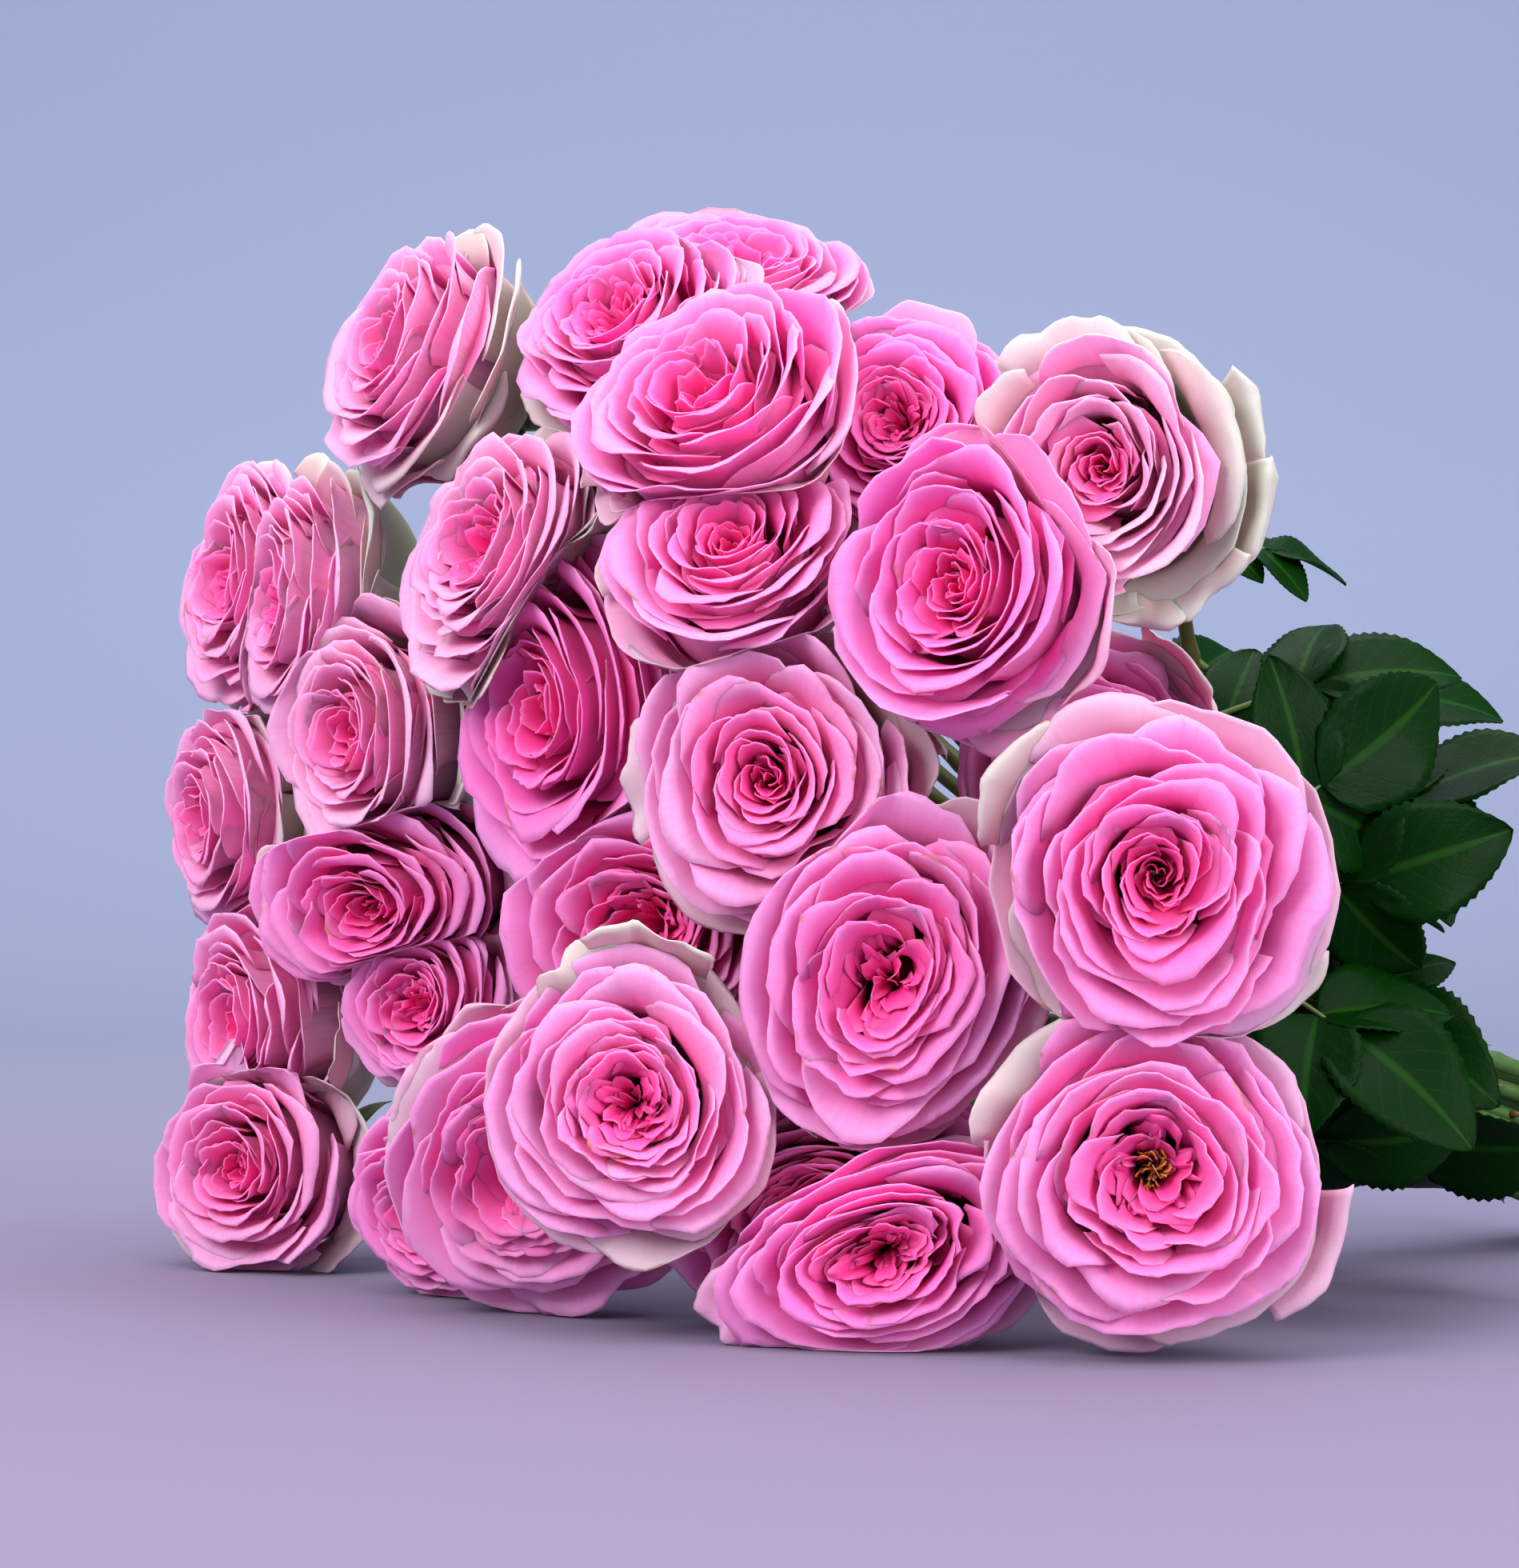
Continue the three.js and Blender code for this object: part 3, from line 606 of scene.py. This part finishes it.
def mix(tree, factor, a, b, kind="MIX"):
    made = node(tree, "ShaderNodeMix", data_type="RGBA", blend_type=kind)
    for value, socket in ((factor, 0), (a, 6), (b, 7)):
        if isinstance(value, bpy.types.NodeSocket):
            tree.links.new(value, made.inputs[socket])
        elif socket == 0:
            made.inputs[0].default_value = value
        else:
            made.inputs[socket].default_value = (*value, 1)
    return made.outputs[2]


def maths(tree, operation, *values):
    made = node(tree, "ShaderNodeMath", operation=operation)
    made.use_clamp = operation in ("ADD", "SUBTRACT", "MULTIPLY")
    for value, socket in zip(values, made.inputs):
        if isinstance(value, bpy.types.NodeSocket):
            tree.links.new(value, socket)
        else:
            socket.default_value = value
    return made.outputs[0]


def streaks(tree, across, along, seed, fine, long):
    """Noise drawn out along a petal or a leaf, as its veins are."""
    place = node(tree, "ShaderNodeCombineXYZ")
    for value, socket, scale in ((across, 0, fine), (along, 1, long), (seed, 2, 40.0)):
        scaled = node(tree, "ShaderNodeMath", operation="MULTIPLY")
        tree.links.new(value, scaled.inputs[0])
        scaled.inputs[1].default_value = scale
        tree.links.new(scaled.outputs[0], place.inputs[socket])
    noise = node(tree, "ShaderNodeTexNoise")
    noise.inputs["Scale"].default_value = 1.0
    noise.inputs["Detail"].default_value = 3.0
    tree.links.new(place.outputs[0], noise.inputs["Vector"])
    return noise.outputs["Fac"]


def spots(tree, scale):
    noise = node(tree, "ShaderNodeTexNoise")
    noise.inputs["Scale"].default_value = scale
    noise.inputs["Detail"].default_value = 4.0
    tree.links.new(node(tree, "ShaderNodeTexCoord").outputs["Object"], noise.inputs["Vector"])
    return noise.outputs["Fac"]


def raise_bumps(tree, shader, height, strength, depth):
    bump = node(tree, "ShaderNodeBump")
    bump.inputs["Strength"].default_value = strength
    bump.inputs["Distance"].default_value = depth
    tree.links.new(height, bump.inputs["Height"])
    tree.links.new(bump.outputs["Normal"], shader.inputs["Normal"])


BLACK, WHITE = (0, 0, 0), (1, 1, 1)


def petal_material(name, colours, vein_strength, pale_share):
    heart, body, outer, lip = colours
    cream, green, bruise = (0.57, 0.57, 0.49), (0.38, 0.46, 0.22), (0.34, 0.16, 0.06)
    blush, brown = (0.97, 0.66, 0.77), (0.50, 0.20, 0.04)
    material, tree, shader = new_material(name, 0.6)
    along, across, opened = mark(tree, "rim"), mark(tree, "across"), mark(tree, "open")
    tint, pale, creamy = mark(tree, "tint"), mark(tree, "pale"), mark(tree, "cream")
    # Deep in the heart and paler outwards; a painted highlight makes each petal paler towards its lip.
    whole = ramp(tree, opened, [(0.15, heart), (0.6, body), (1.0, outer)])
    # The painted highlight on each lip: more of the lip colour on outer petals and nearer the rim.
    lip_highlight_share = ramp(tree, opened, [(0.1, (0.32, 0.32, 0.32)), (0.85, (0.85, 0.85, 0.85))])
    painted_lip_highlight = maths(tree, "MULTIPLY", ramp(tree, along, [(0.68, BLACK), (1.0, WHITE)]), lip_highlight_share)
    colour = mix(tree, painted_lip_highlight, whole, lip)
    paler = maths(tree, "MULTIPLY", pale, ramp(tree, opened, [(0.15, BLACK), (0.65, WHITE)]))
    colour = mix(tree, maths(tree, "MULTIPLY", paler, pale_share), colour, blush)
    colour = mix(tree, maths(tree, "MULTIPLY", tint, 0.22), colour, body)
    # Fine veins run up the petal.
    veins = streaks(tree, across, along, tint, 26.0, 2.2)
    fine_lines = ramp(tree, veins, [(0.45, BLACK), (0.7, WHITE)])
    colour = mix(tree, maths(tree, "MULTIPLY", fine_lines, vein_strength), colour, body)
    # Creamy guard petals are green towards their foot.
    guard = ramp(tree, along, [(0.2, green), (0.75, cream)])
    colour = mix(tree, maths(tree, "MULTIPLY", creamy, 0.95), colour, guard)
    colour = mix(tree, mark(tree, "gold"), colour, brown)
    # The rims have a few bruised nicks.
    at_rim = ramp(tree, along, [(0.93, BLACK), (1.0, WHITE)])
    blots = ramp(tree, spots(tree, 70.0), [(0.62, BLACK), (0.68, WHITE)])
    nicks = maths(tree, "MULTIPLY", blots, at_rim)
    colour = mix(tree, maths(tree, "MULTIPLY", nicks, 0.8), colour, bruise)
    tree.links.new(colour, shader.inputs["Base Color"])
    shader.inputs["Specular IOR Level"].default_value = 0.15
    shader.inputs["Subsurface Weight"].default_value = 0.5
    shader.inputs["Subsurface Radius"].default_value = (1.0, 0.25, 0.5)
    shader.inputs["Subsurface Scale"].default_value = 3 * MM
    raise_bumps(tree, shader, veins, 0.25, 0.4 * MM)
    return material


# The colours of the heart, the middle petals, the outer petals and the painted highlight on the lips.
FACE_PINKS = [(0.94, 0.014, 0.23), (0.97, 0.065, 0.41), (0.97, 0.20, 0.59), (0.97, 0.36, 0.73)]
BACK_PINKS = [(0.94, 0.03, 0.28), (0.97, 0.12, 0.47), (0.96, 0.28, 0.60), (0.96, 0.40, 0.71)]
PETAL_FACE = petal_material("petal_face", FACE_PINKS, 0.12, 0.8)
PETAL_BACK = petal_material("petal_back", BACK_PINKS, 0.3, 0.9)
BLOOMS = [f"bloom_{number:02d}" for number in range(1, len(ROSES) + 1)]

for number, row in enumerate(ROSES, 1):
    grow_rose(number, row)


# ---- The stems ----
# Each rose has a green stem that is thinner and redder towards its head, with joints where its
# leaves grew and hooked thorns between them. It widens into the calyx, whose five sepals fold back.
STEM_RADIUS = 3.0 * MM
CALYX_LENGTH = 11 * MM
STEM_SIDES = 12
STEM_STEP = 4 * MM  # between two places of its line
MOST_STEPS = 180
LOOKS = 6  # taken across it at each place, to find its middle
JOINT_SPACING = 17  # in steps of its line
THORNS = 7
SEPALS = 5


def shape_of(name):
    """A CAD node's mesh with its corners merged, as places and triangles."""
    merged = bmesh.new()
    merged.from_mesh(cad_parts[name].data)
    bmesh.ops.remove_doubles(merged, verts=merged.verts, dist=0.002 * MM)
    bmesh.ops.triangulate(merged, faces=merged.faces)
    merged.verts.index_update()
    places = np.array([v.co[:] for v in merged.verts])
    triangles = np.array([[v.index for v in face.verts] for face in merged.faces])
    merged.free()
    return places, triangles


def middle_of_section(tree, place, along):
    """The middle of the stem round a place inside it. A look that goes up a leaf doesn't count."""
    side = along.orthogonal().normalized()
    other = along.cross(side)
    shift = Vector((0, 0, 0))
    for turn in range(LOOKS):
        angle = turn * math.pi / LOOKS
        look = side * math.cos(angle) + other * math.sin(angle)
        ahead = tree.ray_cast(place, look)[3]
        behind = tree.ray_cast(place, -look)[3]
        if ahead is None or behind is None or max(ahead, behind) > 2.2 * STEM_RADIUS:
            continue
        shift += look * (ahead - behind) / LOOKS
    return place + shift


def stem_line(name, foot, out):
    """The places along the middle of a CAD stem, from just under its calyx to its cut end."""
    places, triangles = shape_of(name)
    tree = BVHTree.FromPolygons([Vector(p) for p in places], triangles.tolist())
    along = -out
    place = foot + along * 0.85 * CALYX_LENGTH
    line = [place]
    while len(line) < MOST_STEPS:
        _, wall, _, ahead = tree.ray_cast(place, along)
        if ahead is None or (ahead < 1.4 * STEM_STEP and wall.dot(along) > 0.9):
            break
        found = middle_of_section(tree, place + along * STEM_STEP, along)
        found = middle_of_section(tree, found, along)
        along = (along * 0.3 + (found - place).normalized() * 0.7).normalized()
        place = found
        line.append(place)
    end = tree.ray_cast(place, along)[0]
    if end is not None:
        line.append(end - along * 0.2 * MM)
    return line, places, triangles


def smoothed(line, rounds):
    points = np.array([p[:] for p in line])
    for _ in range(rounds):
        points[1:-1] = (points[:-2] + 2 * points[1:-1] + points[2:]) / 4
    return points


def tube(places, radii, sides):
    """A closed round skin along some places: its corners, its faces and how far along each is."""
    rings, along = [], []
    tangents = np.gradient(places, axis=0)
    tangents /= np.linalg.norm(tangents, axis=1)[:, None]
    side = np.cross(tangents[0], [0.0, 0.0, 1.0])
    for i, (place, tangent, radius) in enumerate(zip(places, tangents, radii)):
        side = side - tangent * side.dot(tangent)
        side /= np.linalg.norm(side)
        other = np.cross(tangent, side)
        angles = np.arange(sides) * 2 * math.pi / sides
        circle = np.outer(np.cos(angles), side) + np.outer(np.sin(angles), other)
        rings.append(place + radius * circle)
        along += [i / (len(places) - 1)] * sides
    faces = []
    for i in range(len(places) - 1):
        for k in range(sides):
            a, b = i * sides + k, i * sides + (k + 1) % sides
            faces.append([a, b, b + sides, a + sides])
    faces.append(list(range(sides))[::-1])
    faces.append([(len(places) - 1) * sides + k for k in range(sides)])
    return np.concatenate(rings), faces, np.array(along)


def stem_radii(length, joints, places):
    """How thick the stem is along its length: thinner at the neck, thicker at the joints and the foot.
    """
    way = np.linspace(0, 1, length)
    radii = STEM_RADIUS * (0.82 + 0.24 * way)
    for joint in joints:
        near = np.linalg.norm(places - joint, axis=1)
        radii = radii + 0.9 * MM * np.exp(-((near / (4 * MM)) ** 2))
    return radii


# The calyx: how far below the petals, and its radius there, in millimetres.
CALYX_PROFILE = [(0.4, 6.3), (2.0, 6.6), (4.5, 5.6), (7.5, 3.9), (10.5, 2.9)]


def thorn(place, along, side, length):
    """A flat-based hook that points back down the stem."""
    spine = [place + side * (STEM_RADIUS * 0.7)]
    spine.append(place + side * (STEM_RADIUS + 0.35 * length) + along * 0.15 * length)
    spine.append(place + side * (STEM_RADIUS + 0.75 * length) + along * 0.5 * length)
    spine.append(place + side * (STEM_RADIUS + 0.95 * length) + along * 0.9 * length)
    return tube(np.array(spine), np.array([1.9, 1.1, 0.5, 0.08]) * MM, 6)


SEPAL = blank(4, 10)
SEPAL_LENGTH = 30
SEPAL_WIDTH = 9


def lay_sepal(u, v, turn, droop, rng):
    """A narrow pointed sepal that folds back from the top of the calyx along the stem."""
    half = SEPAL_WIDTH / 2 * np.sin(math.pi * np.clip(v * 0.9 + 0.16, 0, 1)) ** 0.8 * (1 - v) ** 0.35
    bend = droop * v
    out = 5.5 + SEPAL_LENGTH * (np.sin(bend) / droop)
    down = -SEPAL_LENGTH * ((1 - np.cos(bend)) / droop) - DEPTH / MM - 1.5
    cup = 1.6 * np.abs(u) * half / (SEPAL_WIDTH / 2)
    twist = rng.normal(0, 0.25) * v
    side = half * u
    x = (out + cup * np.sin(bend)) * math.cos(turn) - side * np.sin(turn + twist)
    y = (out + cup * np.sin(bend)) * math.sin(turn) + side * np.cos(turn + twist)
    return np.stack([x, y, down + cup * np.cos(bend)], axis=1)


# ---- The leaves ----
# Dark glossy rose leaves: a stalk with two pairs of side leaflets and one at its end. A leaflet is
# folded along its midrib, arched to its tip and toothed round its edge.
LEAF_STALK = 62 * MM  # of a leaf of size 1
LEAFLET_LENGTH = 54 * MM
STALK_WIDTH = 2.4 * MM
LEAFLET_SHAPE = 0.77  # its width over its length
LEAF_THICKNESS = 0.5 * MM
TEETH = 15  # on each edge
SIDE_VEINS = 7.0  # on each side of the midrib
VEIN_SLANT = 0.35
LEAFLET = blank(10, 30)
# How long each leaflet is, how far up the stalk it grows, and the way it points, in degrees.
LEAFLETS = [(1.0, 0.96, 0), (0.8, 0.86, 62), (0.8, 0.86, -62), (0.68, 0.45, 66), (0.68, 0.45, -66)]


def flat_groups(places, triangles, line):
    """The flat faces of a leaf's leaflets, which share one plane, as (normal, offset, corners)."""
    a, b, c = (places[triangles[:, k]] for k in range(3))
    normals = np.cross(b - a, c - a)
    areas = np.linalg.norm(normals, axis=1) / 2
    normals /= np.maximum(2 * areas, 1e-12)[:, None]
    middles = (a + b + c) / 3
    points = np.array([p[:] for p in line])
    away = np.min(np.linalg.norm(middles[:, None] - points[None], axis=2), axis=1)
    groups = []
    # The small faces, and those close to the stem, are the round stem's own.
    for i in np.argsort(-areas):
        if areas[i] < 20 * MM**2 or away[i] < 6 * MM:
            continue
        offset = normals[i].dot(middles[i])
        for group in groups:
            if normals[i].dot(group["normal"]) > 0.9995 and abs(offset - group["offset"]) < 0.3 * MM:
                group["triangles"].append(i)
                break
        else:
            groups.append({"normal": normals[i], "offset": offset, "triangles": [i]})
    leaves = []
    # A leaf's side is a large plane, and isn't level.
    for group in groups:
        corners = places[np.unique(triangles[group["triangles"]])]
        area = areas[group["triangles"]].sum()
        if area > 900 * MM**2 and abs(group["normal"][2]) < 0.9999:
            leaves.append((group["normal"], group["offset"], corners))
    return leaves


def leaf_frames(places, triangles, line):
    """Where each leaf grows from, its way along, its upper side, and its size."""
    points = np.array([p[:] for p in line])
    frames = []
    for normal, offset, corners in flat_groups(places, triangles, line):
        side = points @ normal - offset
        crossings = [i for i in range(len(points) - 1) if side[i] * side[i + 1] <= 0]
        if not crossings:
            crossings = [int(np.argmin(np.abs(side)))]
        reach = [np.max(np.linalg.norm(corners - points[i], axis=1)) for i in crossings]
        spot = points[crossings[int(np.argmin(reach))]]
        tip = corners[int(np.argmax(np.linalg.norm(corners - spot, axis=1)))]
        along = tip - spot
        size = (np.linalg.norm(along) + STALK_WIDTH) / (LEAF_STALK + LEAFLET_LENGTH)
        along = along / np.linalg.norm(along)
        if not 0.4 < size < 1.7:
            continue
        # Each leaf gives two planes, its upper side and its under side: the one that looks away
        # from the middle of the bunch is kept.
        out = (spot - np.array(HUB)) - (spot - np.array(HUB)).dot(BUNCH_AXIS) * np.array(BUNCH_AXIS)
        if normal.dot(out) < 0:
            continue
        along -= normal * along.dot(normal)
        frames.append((spot, along / np.linalg.norm(along), normal, size))
    return frames


def lay_leaflet(u, v, length, rng):
    """A leaflet from its base along X, with its upper side up Z, in metres."""
    width = LEAFLET_SHAPE * length
    swell = np.sin(math.pi * np.clip(v, 0, 1) ** 0.8) ** 0.72 * (1 - 0.12 * v)
    at_edge = smooth_step(0.55, 1, np.abs(u)) * smooth_step(0.02, 0.15, v)
    teeth = 1 + 0.12 * ((v * TEETH) % 1.0 - 0.5) * at_edge
    half = width / 2 * swell * teeth
    fold = rng.uniform(0.10, 0.30)
    arch = rng.uniform(0.3, 0.9)
    bend = arch * v
    x = length * np.sin(bend) / arch
    drop = -length * (1 - np.cos(bend)) / arch
    waves = 0.022 * length * np.sin(v * rng.uniform(7, 11) + rng.uniform(0, 6)) * np.abs(u) ** 1.5
    # Between its side veins the blade swells a little.
    along_veins = (v - VEIN_SLANT * np.abs(u)) * 2 * math.pi * SIDE_VEINS
    veins = 0.006 * length * np.sin(along_veins) * np.sin(math.pi * np.abs(u))
    z = drop + fold * np.abs(u) * half + waves + veins
    skew = rng.normal(0, 0.05) * length * v**2
    return np.stack([x, u * half + skew, z], axis=1)


def leaf_parts(spot, along, normal, size, rng):
    """The leaflets of one leaf and its stalk, which is a little curved."""
    edge = np.cross(normal, along)
    axes = np.array([along, edge, normal])
    parts = []
    stalk = size * LEAF_STALK
    sag = rng.uniform(0.02, 0.06)
    way = np.linspace(0, 1.0, 9)
    line = np.stack([stalk * way, 0 * way, sag * stalk * np.sin(math.pi * way)], axis=1)
    radii = np.linspace(1.5, 0.7, 9) * MM
    corners, faces, _ = tube(spot + line @ axes, radii, 6)
    parts.append(("stalk", corners, faces, np.zeros(len(corners)), np.zeros(len(corners))))
    for share, place, turn in LEAFLETS:
        u, v, grid = LEAFLET
        local = lay_leaflet(u, v, share * size * LEAFLET_LENGTH, rng)
        tilt = rng.normal(0, 0.16)
        rolled_y = local[:, 1] * math.cos(tilt) - local[:, 2] * math.sin(tilt)
        rolled_z = local[:, 1] * math.sin(tilt) + local[:, 2] * math.cos(tilt)
        angle = math.radians(turn + rng.normal(0, 5))
        x = local[:, 0] * math.cos(angle) - rolled_y * math.sin(angle) + place * stalk
        y = local[:, 0] * math.sin(angle) + rolled_y * math.cos(angle)
        placed = spot + np.stack([x, y, rolled_z + 0.5 * MM], axis=1) @ axes
        placed[:, 2] = np.maximum(placed[:, 2], FLOOR)
        parts.append(("blade", placed, grid, u, v))
    return parts


def stem_thorns(points, rng):
    """Hooks at uneven places. One that would go down into the table is left out."""
    parts = []
    for i in np.linspace(9, len(points) - 12, THORNS).astype(int) + rng.integers(-3, 4, THORNS):
        tangent = points[i + 1] - points[i]
        tangent /= np.linalg.norm(tangent)
        side = np.cross(tangent, rng.normal(0, 1, 3))
        side /= np.linalg.norm(side)
        if points[i][2] + side[2] * 10 * MM < FLOOR:
            continue
        corners, faces, along = thorn(points[i], tangent, side, rng.uniform(5, 7) * MM)
        parts.append((corners, faces, along, along, [THORN]))
    return parts


def stem_sepals(foot, axes, rng):
    parts = []
    for k in range(SEPALS):
        u, v, grid = SEPAL
        turned = (k + rng.normal(0, 0.1)) * 2 * math.pi / SEPALS
        local = lay_sepal(u, v, turned, rng.uniform(1.1, 2.2), rng)
        local[:, 2] += DEPTH / MM
        placed = np.array(foot) + local * MM @ axes
        placed[:, 2] = np.maximum(placed[:, 2], FLOOR)
        parts.append((placed, grid, u, v, [SEPAL_GREEN, SEPAL_GREEN]))
    return parts


def join_all(pieces):
    """Joins the pieces to the first of them."""
    deselect()
    for piece in pieces:
        piece.select_set(True)
    bpy.context.view_layer.objects.active = pieces[0]
    bpy.ops.object.join()


def grow_stem(number, row):
    right, back, up, width, _, turn, lift, roll, _, _ = row
    rng = np.random.default_rng(100 + number)
    name = f"stem_{number:02d}"
    out = facing(turn, lift)
    foot = Vector((right, back, up)) * WIDTH + ORIGIN - out * DEPTH * width
    line, places, triangles = stem_line(name, foot, out)
    points = smoothed(line, 5)[1:]
    leaves = leaf_frames(places, triangles, line)
    joints = [spot for spot, *_ in leaves]
    joints += [points[i] for i in range(14, len(points), JOINT_SPACING)]
    cup = [np.array(foot - out * (down * MM)) for down, _ in CALYX_PROFILE]
    core = np.concatenate([cup, points])
    cup_radii = np.array([radius for _, radius in CALYX_PROFILE]) * MM
    radii = np.concatenate([cup_radii, stem_radii(len(points), joints, points)])
    corners, faces, along = tube(core, radii, STEM_SIDES)
    corners[:, 2] = np.maximum(corners[:, 2], FLOOR)
    marks = {"rim": along, "across": np.zeros(len(along)), "tint": np.full(len(along), rng.random())}
    stem = new_piece(f"green_{name}", corners, faces, marks, [STEM_SKIN])
    bpy.ops.object.shade_smooth()

    parts = stem_thorns(points, rng) + stem_sepals(foot, head_axes(turn, lift, roll), rng)
    for leaf in leaves:
        for kind, placed, grid, u, v in leaf_parts(*leaf, rng):
            kinds = [STEM_SKIN] if kind == "stalk" else [LEAF_FACE, LEAF_BACK]
            parts.append((placed, grid[:, ::-1] if kind == "blade" else grid, u, v, kinds))
    grown = [stem]
    for placed, grid, u, v, kinds in parts:
        marks = {"rim": v, "across": u, "tint": np.full(len(u), rng.random())}
        part = new_piece("part", placed, grid, marks, kinds)
        if len(kinds) == 2:
            give_thickness(part, LEAF_THICKNESS)
        bpy.ops.object.shade_smooth()
        grown.append(part)
    join_all(grown)
    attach(stem, "root")
    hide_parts(name)


def stem_material():
    material, tree, shader = new_material("stem_skin", 0.42)
    along = mark(tree, "rim")
    neck, reddish, low = (0.10, 0.17, 0.04), (0.11, 0.10, 0.03), (0.05, 0.13, 0.02)
    green = ramp(tree, along, [(0.0, neck), (0.25, reddish), (0.6, low)])
    grain = spots(tree, 160.0)
    worn = maths(tree, "MULTIPLY", ramp(tree, grain, [(0.5, BLACK), (0.75, WHITE)]), 0.35)
    colour = mix(tree, worn, green, (0.17, 0.19, 0.07))
    cut = ramp(tree, along, [(0.9985, BLACK), (1.0, WHITE)])
    tree.links.new(mix(tree, cut, colour, (0.5, 0.52, 0.28)), shader.inputs["Base Color"])
    raise_bumps(tree, shader, grain, 0.3, 0.3 * MM)
    return material


def leaf_material(name, blade, vein, roughness, vein_share):
    material, tree, shader = new_material(name, roughness)
    along, across, tint = mark(tree, "rim"), mark(tree, "across"), mark(tree, "tint")
    blotch = spots(tree, 45.0)
    colour = mix(tree, maths(tree, "MULTIPLY", blotch, 0.5), blade, tuple(1.8 * c for c in blade))
    sideways = maths(tree, "ABSOLUTE", across)
    # Side veins leave the midrib slantwise, as the blade's own swellings do.
    slant = node(tree, "ShaderNodeMath", operation="MULTIPLY_ADD")
    tree.links.new(sideways, slant.inputs[0])
    slant.inputs[1].default_value = -VEIN_SLANT
    tree.links.new(along, slant.inputs[2])
    turns = node(tree, "ShaderNodeMath", operation="MULTIPLY")
    tree.links.new(slant.outputs[0], turns.inputs[0])
    turns.inputs[1].default_value = SIDE_VEINS
    cycle = maths(tree, "PINGPONG", turns.outputs[0], 0.5)
    side_veins = ramp(tree, cycle, [(0.0, WHITE), (0.07, BLACK)])
    midrib = ramp(tree, sideways, [(0.03, WHITE), (0.10, BLACK)])
    veins = maths(tree, "ADD", midrib, maths(tree, "MULTIPLY", side_veins, vein_share))
    colour = mix(tree, maths(tree, "MULTIPLY", veins, 0.8), colour, vein)
    tree.links.new(colour, shader.inputs["Base Color"])
    shader.inputs["Specular IOR Level"].default_value = 0.06
    net = streaks(tree, across, along, tint, 18.0, 30.0)
    raise_bumps(tree, shader, maths(tree, "SUBTRACT", net, veins), 0.35, 0.4 * MM)
    return material


def plain_green(name, colour, dark, roughness):
    material, tree, shader = new_material(name, roughness)
    tree.links.new(mix(tree, spots(tree, 120.0), colour, dark), shader.inputs["Base Color"])
    raise_bumps(tree, shader, spots(tree, 400.0), 0.2, 0.2 * MM)
    return material


STEM_SKIN = stem_material()
THORN = plain_green("thorn_horn", (0.26, 0.07, 0.04), (0.12, 0.12, 0.03), 0.35)
SEPAL_GREEN = plain_green("sepal_green", (0.13, 0.22, 0.05), (0.05, 0.12, 0.02), 0.55)
LEAF_FACE = leaf_material("leaf_face", (0.0008, 0.018, 0.0008), (0.01, 0.06, 0.004), 0.38, 0.25)
LEAF_BACK = leaf_material("leaf_back", (0.02, 0.07, 0.015), (0.07, 0.15, 0.04), 0.6, 0.5)

band_low, band_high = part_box("band")
HUB = (Vector(band_low) + Vector(band_high)) / 2
HEADS_MIDDLE = sum((Vector(row[:3]) for row in ROSES), Vector()) / len(ROSES) * WIDTH + ORIGIN
BUNCH_AXIS = (HUB - HEADS_MIDDLE).normalized()
for number, row in enumerate(ROSES, 1):
    grow_stem(number, row)


# ---- The band ----
# A flat rubber band holds the stems where they cross. It has gone a little matt with dust.
def band_material():
    material, tree, shader = new_material("band_rubber", 0.6)
    grain = spots(tree, 260.0)
    shade = ramp(tree, grain, [(0.3, (0.42, 0.27, 0.12)), (0.7, (0.58, 0.40, 0.20))])
    tree.links.new(shade, shader.inputs["Base Color"])
    raise_bumps(tree, shader, grain, 0.25, 0.2 * MM)
    return material


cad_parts["band"].material_slots[0].material = band_material()
